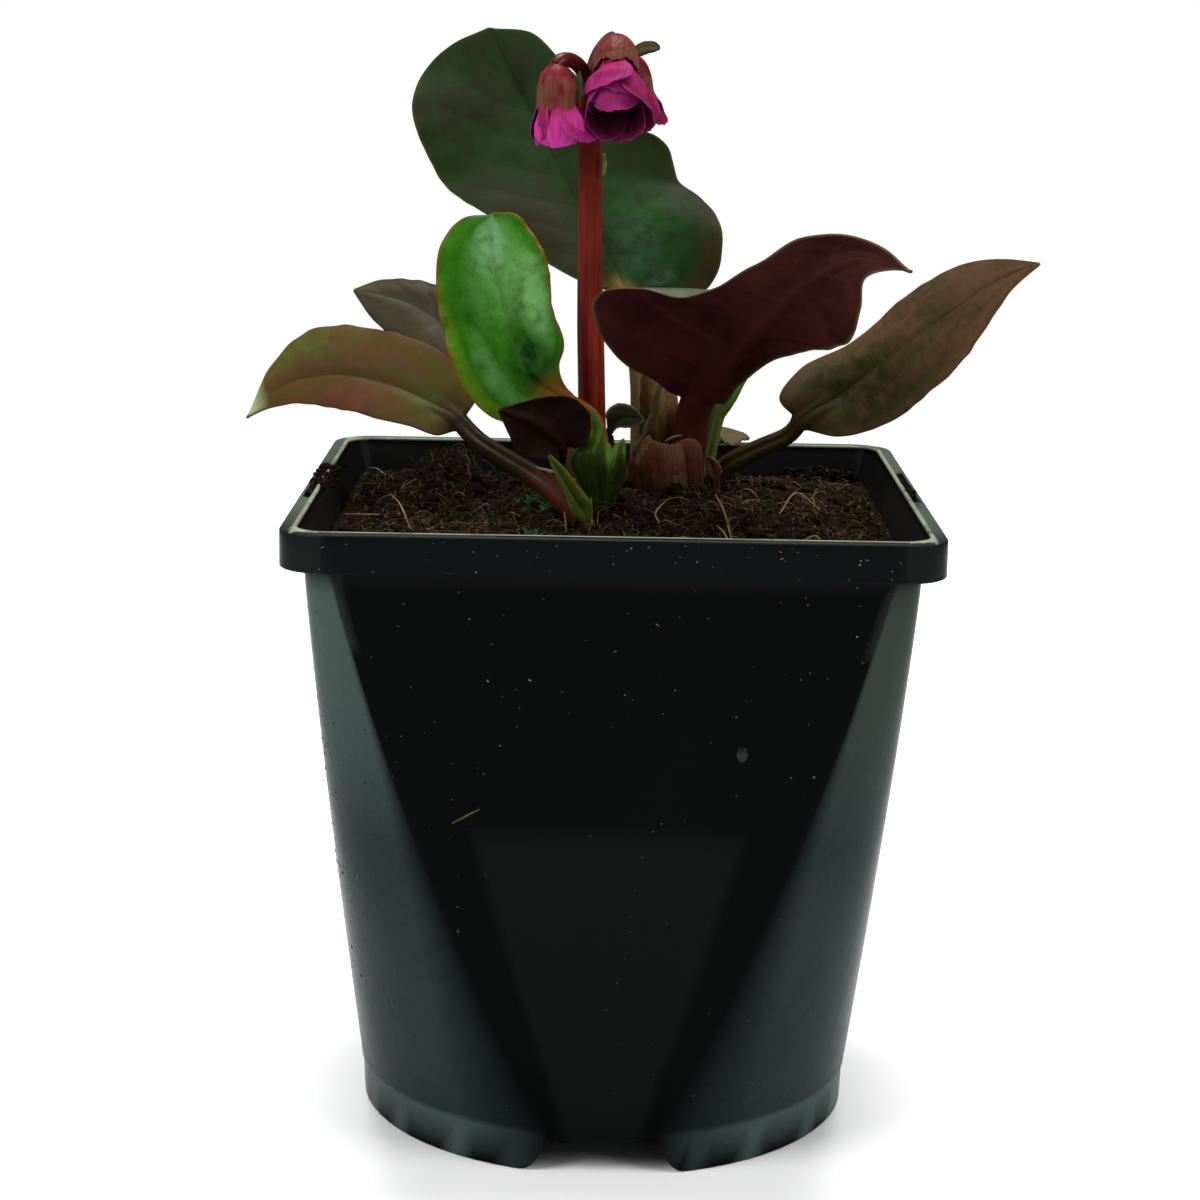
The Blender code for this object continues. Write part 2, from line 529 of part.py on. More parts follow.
def rounded_square(half, flat, z):
    """A ring of points, anticlockwise: a square with straight sides of 2 * flat and round corners."""
    flat = max(flat, LEAST_FLAT)
    ring = []
    for corner in range(4):
        start = corner * math.pi / 2
        centre = ((1, 1), (-1, 1), (-1, -1), (1, -1))[corner]
        for step in range(CORNER_STEPS + 1):
            turn = start + math.pi / 2 * step / CORNER_STEPS
            ring.append(
                (
                    centre[0] * flat + (half - flat) * math.cos(turn),
                    centre[1] * flat + (half - flat) * math.sin(turn),
                    z,
                )
            )
    return np.array(ring)


def body_section(z, inset=0.0):
    """Half width and half flat of the pot's wall at height z, taken in by inset."""
    down = (POT_HEIGHT - RIM_BAND - z) / (POT_HEIGHT - RIM_BAND - STEP_HEIGHT)
    down = min(max(down, 0.0), 1.0)
    half = BODY_TOP_HALF + (BODY_FOOT_HALF - BODY_TOP_HALF) * down
    flat = BODY_TOP_FLAT * (1 - down**FLAT_FALL)
    return half - inset, min(flat, half - inset - LEAST_CORNER)


def wall_heights():
    """Heights of the pot's sections from the foot's step to under the rim, closer together near the foot."""
    low, high = STEP_HEIGHT, POT_HEIGHT - RIM_BAND
    return [low + (high - low) * (k / BODY_LEVELS) ** LEVEL_CROWDING for k in range(BODY_LEVELS + 1)]


def pot_rings():
    """The pot's sections in order, from under the floor round the outside to the top of the floor."""
    top, under = POT_HEIGHT, POT_HEIGHT - RIM_TOP_THICK
    band = POT_HEIGHT - RIM_BAND
    skirt_in = RIM_HALF - SKIRT_THICK
    wall_out = LIP_HALF + LIP_THICK
    heights = wall_heights()
    sections = [
        (FOOT_HALF - FOOT_RING + FOOT_TAPER, 0, FLOOR_UNDER),
        (FOOT_HALF - FOOT_RING, 0, 0),
        (FOOT_HALF, 0, 0),
        (BODY_FOOT_HALF - STEP_INSET, 0, STEP_HEIGHT - STEP_DROP),
    ]
    sections += [(*body_section(z), z) for z in heights]
    sections += [
        (wall_out, RIM_FLAT - LIP_BEVEL, under),
        (skirt_in, RIM_FLAT, under),
        (skirt_in, RIM_FLAT, band),
        (RIM_HALF, RIM_FLAT, band),
        (RIM_HALF, RIM_FLAT, top - RIM_BEVEL),
        (RIM_HALF - RIM_BEVEL, RIM_FLAT, top),
        (LIP_HALF + LIP_BEVEL, RIM_FLAT - LIP_BEVEL, top),
        (LIP_HALF, RIM_FLAT - 2 * LIP_BEVEL, top - LIP_BEVEL),
    ]
    sections += [(*body_section(z, WALL), z) for z in reversed(heights[1:])]
    sections += [(*body_section(FLOOR_TOP, WALL), FLOOR_TOP)]
    return [rounded_square(*section) for section in sections]


def block(low, high):
    """Points and faces of a box from its low to its high corner."""
    ring = [(low[0], low[1]), (high[0], low[1]), (high[0], high[1]), (low[0], high[1])]
    return loft([np.array([(x, y, z) for x, y in ring]) for z in (low[2], high[2])])


def pot_cutters():
    """Slots in the rim's top, drainage holes in the floor and the two notches in the foot."""
    cutters = []
    low = LIP_HALF + LIP_THICK + SLOT_MARGIN
    high = RIM_HALF - SKIRT_THICK - SLOT_MARGIN
    reach = SLOT_LENGTH / 2
    low_z, high_z = POT_HEIGHT - SLOT_CUT, POT_HEIGHT + CUT_PAST
    for sign in (-1, 1):
        near, far = sorted((sign * low, sign * high))
        cutters.append(block((near, -reach, low_z), (far, reach, high_z)))
        cutters.append(block((-reach, near, low_z), (reach, far, high_z)))
    for k in range(DRAIN_COUNT + 1):
        turn = 2 * math.pi * k / DRAIN_COUNT
        out = DRAIN_CIRCLE if k < DRAIN_COUNT else 0.0
        x, y = out * math.cos(turn), out * math.sin(turn)
        ends = [(x, y, z, DRAIN_RADIUS) for z in (FLOOR_UNDER - CUT_PAST, FLOOR_TOP + CUT_PAST)]
        cutters.append(tube(ends, DRAIN_SIDES))
    outline = [(x, z) for x, z in NOTCH_OUTLINE] + [(-x, z) for x, z in reversed(NOTCH_OUTLINE)]
    for sign in (-1, 1):
        ends = sorted((sign * (FOOT_HALF - NOTCH_CUT[0]), sign * (FOOT_HALF + NOTCH_CUT[1])))
        cutters.append(loft([np.array([(x, y, z) for x, z in outline]) for y in ends]))
    return [outward(f"pot_cutter_{k}", *shape) for k, shape in enumerate(cutters)]


def outward(name, points, faces, finish="pot"):
    """An object whose faces are turned to point out."""
    made = make_object(name, points, faces, finish)
    mesh = bmesh.new()
    mesh.from_mesh(made.data)
    bmesh.ops.recalc_face_normals(mesh, faces=mesh.faces)
    mesh.to_mesh(made.data)
    mesh.free()
    return made


def make_pot():
    """The pot with its rim, foot, slots and holes."""
    pot = make_object("pot", *loft(pot_rings()), "pot")
    apply_boolean(pot, pot_cutters(), "DIFFERENCE")
    return pot


def soil_height(x, y):
    """Height of the compost's lumpy surface."""
    height = sum(
        rise * math.exp(-((x - cx) ** 2 + (y - cy) ** 2) / (2 * wide**2)) for cx, cy, rise, wide in MOUNDS
    )
    height += sum(rise * noise.noise(Vector((x / size, y / size, size))) for size, rise in LUMPS)
    edge = max(abs(x), abs(y)) / BODY_TOP_HALF
    return SOIL_LEVEL + height * (1 - edge**EDGE_FADE)


def make_soil():
    """Compost that fills the pot, with a lumpy top and a hole for each stem."""
    bottom = body_section(FLOOR_TOP, WALL + GAP)
    rings = [rounded_square(*bottom, FLOOR_TOP + GAP)]
    heights = [z for z in wall_heights()[1:] if z < SOIL_LEVEL - SOIL_SHOULDER]
    heights.append(SOIL_LEVEL - SOIL_SHOULDER)
    rings += [rounded_square(*body_section(z, WALL + GAP), z) for z in heights]
    edge = rounded_square(*body_section(SOIL_LEVEL, WALL + GAP), SOIL_LEVEL)
    for k in range(SOIL_RINGS, 0, -1):
        ring = edge * (k / SOIL_RINGS)
        rings.append(np.array([(x, y, soil_height(x, y)) for x, y, _ in ring]))
    soil = make_object("soil", *loft(rings), "soil")
    apply_boolean(soil, stem_holes(), "DIFFERENCE")
    return soil


def stalk_hole(leaf):
    """A wider copy of the part of a stalk that is in or near the soil."""
    grid = leaf_grid(leaf)[0]
    middle = grid[:, len(STALK_COLUMNS) // 2]
    count = int(np.argmax(middle[:, 2] > SOIL_LEVEL + HOLE_REACH)) + 1
    keep = list(middle[:count])
    side = unit(grid[0, -1] - grid[0, 0])
    half = leaf["width"] / 2 * leaf["foot"] + HOLE_CLEARANCE
    depth = leaf["thick"] / 2 * leaf["foot"] + HOLE_CLEARANCE
    centres = np.array([keep[0] - (0, 0, HOLE_CLEARANCE)] + keep[1:])
    along = unit(np.gradient(centres, axis=0))
    across = stalk_sides(centres, side)
    over = np.cross(along, across)
    turns = np.arange(HOLE_SIDES) * 2 * math.pi / HOLE_SIDES
    round_up = 1 / math.cos(math.pi / HOLE_SIDES)
    return [
        c + round_up * (np.cos(turns)[:, None] * half * a + np.sin(turns)[:, None] * depth * o)
        for c, a, o in zip(centres, across, over)
    ]


def crown_rings(lobe, grow=0.0):
    """Rings of one lobe of the crown, wider by grow."""
    (cx, cy), sizes = lobe
    turns = np.arange(CROWN_SIDES) * 2 * math.pi / CROWN_SIDES
    rings = []
    for z, half_x, half_y in sizes:
        low = z - grow if z == sizes[0][0] else z
        x = cx + (half_x + grow) * np.cos(turns)
        y = cy + (half_y + grow) * np.sin(turns)
        rings.append(np.stack([x, y, np.full(CROWN_SIDES, low)], axis=1))
    return rings


def stem_holes():
    """One cutter for each stem that stands in the compost."""
    holes = [outward(f"hole_{name}", *loft(stalk_hole(leaf))) for name, leaf in LEAVES.items()]
    for k, lobe in enumerate(CROWN_LOBES):
        holes.append(outward(f"hole_crown_{k}", *loft(crown_rings(lobe, HOLE_CLEARANCE))))
    stem = [(x, y, z, r + HOLE_CLEARANCE + SCAPE_HOLE_EXTRA) for x, y, z, r in SCAPE[:3]]
    stem[0] = (*stem[0][:2], stem[0][2] - HOLE_CLEARANCE, stem[0][3])
    holes.append(outward("hole_scape", *tube(stem, SCAPE_SIDES)))
    return holes


def make_leaf(name, leaf, finish):
    """One leaf: stalk and blade in one closed solid."""
    return make_object(name, *sheet_solid(*leaf_grid(leaf)), finish)


def make_crown():
    """The stump with the old leaf bases that are fused to it."""
    crown = outward("crown", *loft(crown_rings(CROWN_LOBES[0])), "crown")
    others = [make_leaf(name, leaf, "crown") for name, leaf in SHEATHS.items()]
    others += [
        outward(f"crown_lobe_{k}", *loft(crown_rings(lobe)), "crown") for k, lobe in enumerate(CROWN_LOBES[1:])
    ]
    return apply_boolean(crown, others, "UNION")


def make_scape():
    """The flower scape with the blooms' stalks and the small bract."""
    scape = outward("scape", *smooth_tube(SCAPE, SCAPE_STEPS, SCAPE_SIDES), "scape")
    parts = [
        outward(f"bloom_stalk_{k}", *smooth_tube(line, STALK_RINGS, STALK_SIDES), "scape")
        for k, line in enumerate(BLOOM_STALKS)
    ]
    parts.append(make_leaf("bract", BRACT, "scape"))
    return apply_boolean(scape, parts, "UNION")


def bloom_axes(bloom):
    """Three unit axes of a bloom: two across it and one from its mouth to its top."""
    up = unit(np.array(bloom["top"]) - np.array(bloom["mouth"]))
    first = unit(np.cross(np.array([0.0, 1.0, 0.0]), up))
    return first, np.cross(up, first), up


def in_bloom(bloom, radius, angle, down):
    """A point of the bloom from its distance to the axis, its angle and its distance below the calyx's top."""
    first, second, up = bloom_axes(bloom)
    around = first * math.cos(angle) + second * math.sin(angle)
    return np.array(bloom["top"]) + around * radius - up * down


def turned_ring(bloom, radius, turns, downs):
    """A ring round the bloom's axis, with its own distance below the top at each turn."""
    return np.array([in_bloom(bloom, radius, turn, down) for turn, down in zip(turns, downs)])


def turned_rings(bloom, profile, sides):
    """Rings round the bloom's axis for a profile of (distance below the top, radius)."""
    turns = [-2 * math.pi * k / sides for k in range(sides)]
    return [turned_ring(bloom, radius, turns, [down] * sides) for down, radius in profile]


def make_calyx(name, bloom):
    """The cup of five joined sepals."""
    turns = [-2 * math.pi * k / CALYX_SIDES for k in range(CALYX_SIDES)]
    profile = [(down * bloom["cup"], r * bloom["girth"]) for down, r in CALYX_PROFILE]
    outer = profile[-1][1]
    inner = outer - CALYX_WALL
    lobes = [math.cos(5 * (turn - math.radians(bloom["sepals"]))) for turn in turns]
    rim = [CALYX_RIM * bloom["cup"] + CALYX_LOBE * lobe for lobe in lobes]
    above = [down - CALYX_EDGE for down in rim]
    rings = turned_rings(bloom, profile[:-1], CALYX_SIDES)
    rings += [turned_ring(bloom, radius, turns, downs)
              for radius, downs in ((outer, above), (outer, rim), (inner, rim), (inner, above))]
    inside = [(max(down, CALYX_FLOOR), r - CALYX_WALL) for down, r in reversed(profile[1:-1])]
    rings += turned_rings(bloom, inside, CALYX_SIDES)
    return outward(name, *loft(rings), "calyx")


def petal_grid(bloom, petal):
    """Middle surface of one petal: its root in the calyx, then its free part below the sepals."""
    direction, length, spread, flare, lift, layer = petal
    neck = CALYX_RIM * bloom["cup"] + CALYX_LOBE + PETAL_CLEAR
    throat = CALYX_PROFILE[-1][1] * bloom["girth"] - CALYX_WALL - PETAL_ROOM
    outline = [(down, radius, angle, 0.0) for down, radius, angle in PETAL_ROOT]
    outline.append((neck, throat, PETAL_NECK_ANGLE, 0.0))
    for share, radius, angle in PETAL_FREE:
        down = neck + (PETAL_LENGTH * length - neck) * share
        outline.append((down, radius + layer + flare * share**2, angle * spread, lift * share**2))
    rows = []
    for down, radius, angle, drawn in outline:
        rows.append([
            in_bloom(
                bloom, radius + PETAL_TURN * v + drawn * abs(v) ** 3, math.radians(direction + angle * v),
                down - PETAL_SAG * v * v,
            )
            for v in np.linspace(-1, 1, PETAL_COLUMNS)
        ])
    return np.array(rows)


def make_corolla(name, bloom):
    """Overlapping petals on the ovary."""
    ovary = outward(name, *loft(turned_rings(bloom, OVARY_PROFILE, OVARY_SIDES)), "petal")
    petals = []
    for index, petal in enumerate(bloom["petals"]):
        grid = petal_grid(bloom, petal)
        wall = np.full(grid.shape[:2], PETAL_WALL / 2)
        petals.append(outward(f"{name}_petal_{index}", *sheet_solid(grid, wall, wall), "petal"))
    return apply_boolean(ovary, petals, "UNION")


def main():
    """Clears the scene and builds every piece."""
    for old in list(bpy.data.objects):
        bpy.data.objects.remove(old)
    make_pot()
    make_soil()
    make_crown()
    for name, leaf in LEAVES.items():
        make_leaf(name, leaf, FINISH_OF[name])
    make_scape()
    for name, bloom in BLOOMS.items():
        make_calyx(f"{name}_calyx", bloom)
        make_corolla(f"{name}_petals", bloom)


main()
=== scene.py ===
"""The potted bergenia, dressed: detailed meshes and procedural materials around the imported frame."""

import math
import random

import bmesh
import bpy
import numpy as np
from mathutils import Matrix, Vector, noise


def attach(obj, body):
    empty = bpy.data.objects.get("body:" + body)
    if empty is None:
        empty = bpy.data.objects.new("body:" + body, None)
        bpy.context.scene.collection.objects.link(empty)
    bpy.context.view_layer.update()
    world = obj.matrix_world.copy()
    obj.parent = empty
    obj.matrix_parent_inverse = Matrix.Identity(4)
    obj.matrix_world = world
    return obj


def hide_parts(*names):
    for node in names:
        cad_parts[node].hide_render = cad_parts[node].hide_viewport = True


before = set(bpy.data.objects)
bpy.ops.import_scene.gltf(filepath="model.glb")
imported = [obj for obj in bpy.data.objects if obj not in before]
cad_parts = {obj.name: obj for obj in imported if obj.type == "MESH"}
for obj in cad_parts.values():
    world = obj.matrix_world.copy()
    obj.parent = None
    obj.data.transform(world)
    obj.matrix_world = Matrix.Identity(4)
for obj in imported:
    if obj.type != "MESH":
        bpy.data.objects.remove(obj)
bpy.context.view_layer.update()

MM = 0.001  # the tables are in millimetres, and the scene is in metres

# Pot: the sizes of the frame's pot.
POT_HEIGHT = 114.0
RIM_HALF = 54.9
RIM_FLAT = 47.0
RIM_BAND = 6.6
BAND_FOOT = POT_HEIGHT - RIM_BAND
RIM_TOP_THICK = 1.2
RIM_ROUND = 0.7
SKIRT_THICK = 0.7
LIP_HALF = 52.0
LIP_THICK = 0.7
# Down the lip's inside: how far outside the lip, how much less flat than the rim and how far below its top.
LIP_STEPS = ((0.9, 0.4, 0.12), (0.55, 0.4, 0.0), (0.25, 0.4, 0.0), (0.05, 0.5, 0.15), (0.0, 0.6, 0.5),
             (-0.4, 0.8, 1.8))
BODY_TOP_HALF = 51.0
BODY_TOP_FLAT = 46.0
BODY_FOOT_HALF = 45.1
LEAST_FLAT = 0.5
FLAT_FALL = 1.32
WALL = 1.2
STEP_HEIGHT = 7.6
STEP_INSET = 0.3
FOOT_HALF = 44.5
FOOT_RING = 1.6
FLOOR_UNDER = 6.4
FLOOR_TOP = 7.8
SLOT_LENGTH = 38.0
SLOT_MARGIN = 0.12
NOTCH_OUTLINE = ((9.9, 6.2), (10.5, 4.1), (11.5, 2.2), (12.2, 1.2), (13.2, 0.45), (14.4, 0.1), (15.4, -1.0))
DRAIN_COUNT = 6
DRAIN_SIDES = 28
DRAIN_RADIUS = 3.5
DRAIN_CIRCLE = 31.0
POT_CREASE = 32  # degrees from which an edge of the pot is drawn sharp
CORNER_STEPS = 18
FLAT_STOPS = (0.02, 0.2, 0.4, 0.6, 0.8, 0.98)
WALL_LEVELS = 34

# Compost.
GAP = 0.3
SOIL_LEVEL = 107.4
MOUNDS = ((7, 7, 5.4, 17), (-31, 32, 3.6, 9), (35, 24, 2.4, 8), (24, -30, 1.2, 10))
LUMPS = ((14.0, 1.6), (6.0, 0.8))
CRUMBLE = ((3.1, 0.5), (1.5, 0.32), (0.8, 0.18))
SOIL_GRID = 181
SOIL_LEVELS = (SOIL_LEVEL - 8, 80, 50, 25, FLOOR_TOP + GAP)

# Loose crumbs: the ranges of their half sizes along each axis as shares, how many lie about and which share
# of them is small, the sizes of small and large ones, how many are heaped at the back right and lie on the
# rim, the heap's range of x, middle and spread of y, last y and height, and in the rim's slots: side, y from
# and to, and how many.
CRUMB_SHARES = ((0.7, 1.3), (0.6, 1.1), (0.45, 0.8))
CRUMBS, SMALL_CRUMBS = 3400, 0.93
SMALL_CRUMB, LARGE_CRUMB = (0.2, 0.6), (0.6, 1.3)
HEAPED_CRUMBS, RIM_CRUMBS = 140, 70
HEAP_X, HEAP_Y, HEAP_END, HEAP_RISE = (34, 47.5), (47, 1.2), 48.6, 2.4
SLOT_CRUMBS = ((-1, -14, 16, 150), (1, -6, 17, 90))

# Strands that stand out: radius, then points as x, y and height above the compost.
STRANDS = (
    (0.26, ((18.5, 0.5, 1.2), (19.5, -11.5, 2.2), (20.4, -26.5, 0.8))),
    (0.24, ((9.8, -6.0, 1.6), (7.8, -10.0, 1.4), (8.0, -19.0, 0.6))),
    (0.20, ((30.0, -2.0, 0.6), (34.5, 9.5, 2.6), (37.8, 4.0, 0.6))),
    (0.22, ((-48.0, 46.0, 1.0), (-46.0, 43.0, 1.4), (-44.0, 39.5, 0.6))),
    (0.22, ((-48.0, -5.0, 1.0), (-45.0, -4.0, 1.4), (-42.0, -2.5, 0.6))),
    (0.20, ((-41.4, 15.5, 0.8), (-38.5, 1.0, 1.2), (-35.7, -14.0, 0.6))),
    (0.16, ((-9.8, 13.5, 2.0), (-8.9, -5.5, 2.0), (-8.1, -21.0, 0.5))),
    (0.16, ((-4.1, -1.5, 3.0), (-3.9, -9.0, 2.2), (-3.7, -15.5, 0.6))),
    (0.16, ((18.0, -22.0, 1.2), (18.8, -27.0, 1.8), (20.0, -33.0, 0.8))),
    (0.18, ((-17.0, -33.0, 0.8), (-14.0, -30.0, 1.5), (-10.5, -34.0, 0.7))),
    (0.22, ((33.0, -26.0, 1.0), (34.6, -25.0, 1.8), (36.0, -28.0, 0.8))),
    (0.20, ((39.0, -44.0, 0.6), (41.0, -42.0, 1.2), (43.0, -45.0, 0.5))),
)
FIBRES = 900
TUFT = (-32.0, 35.5, 2.6, 70)  # a tuft of fibres at the back left: x, y, how far it spreads and how many

STRAW_TONES = ((0.085, 0.052, 0.022), (0.22, 0.15, 0.065))
ROOT_TONES = ((0.018, 0.010, 0.005), (0.055, 0.034, 0.016))

# Moss: x, y, how far it spreads and how many leaflets.
MOSS = ((-13.2, 1.5, 3.4, 260), (-14.4, -18.5, 1.6, 60), (-0.5, 9.5, 2.4, 70), (-11.3, -3.0, 2.4, 60))
MOSS_LEAFLET = (0.32, 0.16, 1.0)

# Drops of water: how many, which share is small, the ranges of their half sizes, the middle and spread of
# their direction in degrees and of their height, its limits, how much they are flattened against the wall,
# and the dried one's x, z and half sizes.
DROPS, SMALL_DROPS = 260, 0.88
SMALL_DROP, LARGE_DROP = (0.08, 0.20), (0.2, 0.4)
DROP_TURN, DROP_HEIGHT, DROP_LIMITS = (218, 9), (58, 20), (12, 100)
DROP_FLAT = 0.72
DRIED_DROP = (22.0, 77.0, (0.95, 0.25, 1.35))

# Specks stuck to the rim and the front: how many, which share is on the rim, which share is straw, and the
# ranges of their x, of their heights on the rim and below it, and of their sizes. Then two straws: radius
# and points.
SPECKS, RIM_SPECKS, STRAW_SPECKS = 70, 0.6, 0.3
SPECK_X, SPECK_RIM, SPECK_WALL, SPECK_SIZE = (-48, 50), (107.8, 113.4), (70, 106), (0.08, 0.24)
LITTER_STRAWS = (
    (0.16, ((-26.0, -50.2, 64.6), (-23.6, -50.2, 66.0), (-21.4, -50.3, 67.2))),
    (0.2, ((-50.9, -53.2, 108.6), (-50.3, -53.8, 109.6), (-49.6, -54.2, 109.0))),
)

# Leaves: how thick the blade and the stalk's edges are, and half the width of a tip.
BLADE = 0.7
EDGE_STALK = 0.5
TIP_HALF = 0.35
NICKS, NICK_DEPTH = 26, 0.014  # nicks along a margin, and how deep as a share of the blade's width
FRILLS, FRILL = 8, 0.22
BUCKLE_SIZE, BUCKLE = 13.0, 0.5
PILLOW = 0.12  # how far the leaf swells between side veins
GROOVE = 0.3  # how much of the stalk's upper half its groove takes
EDGE_THIN = 0.07  # how far the margin's faces lie from its middle

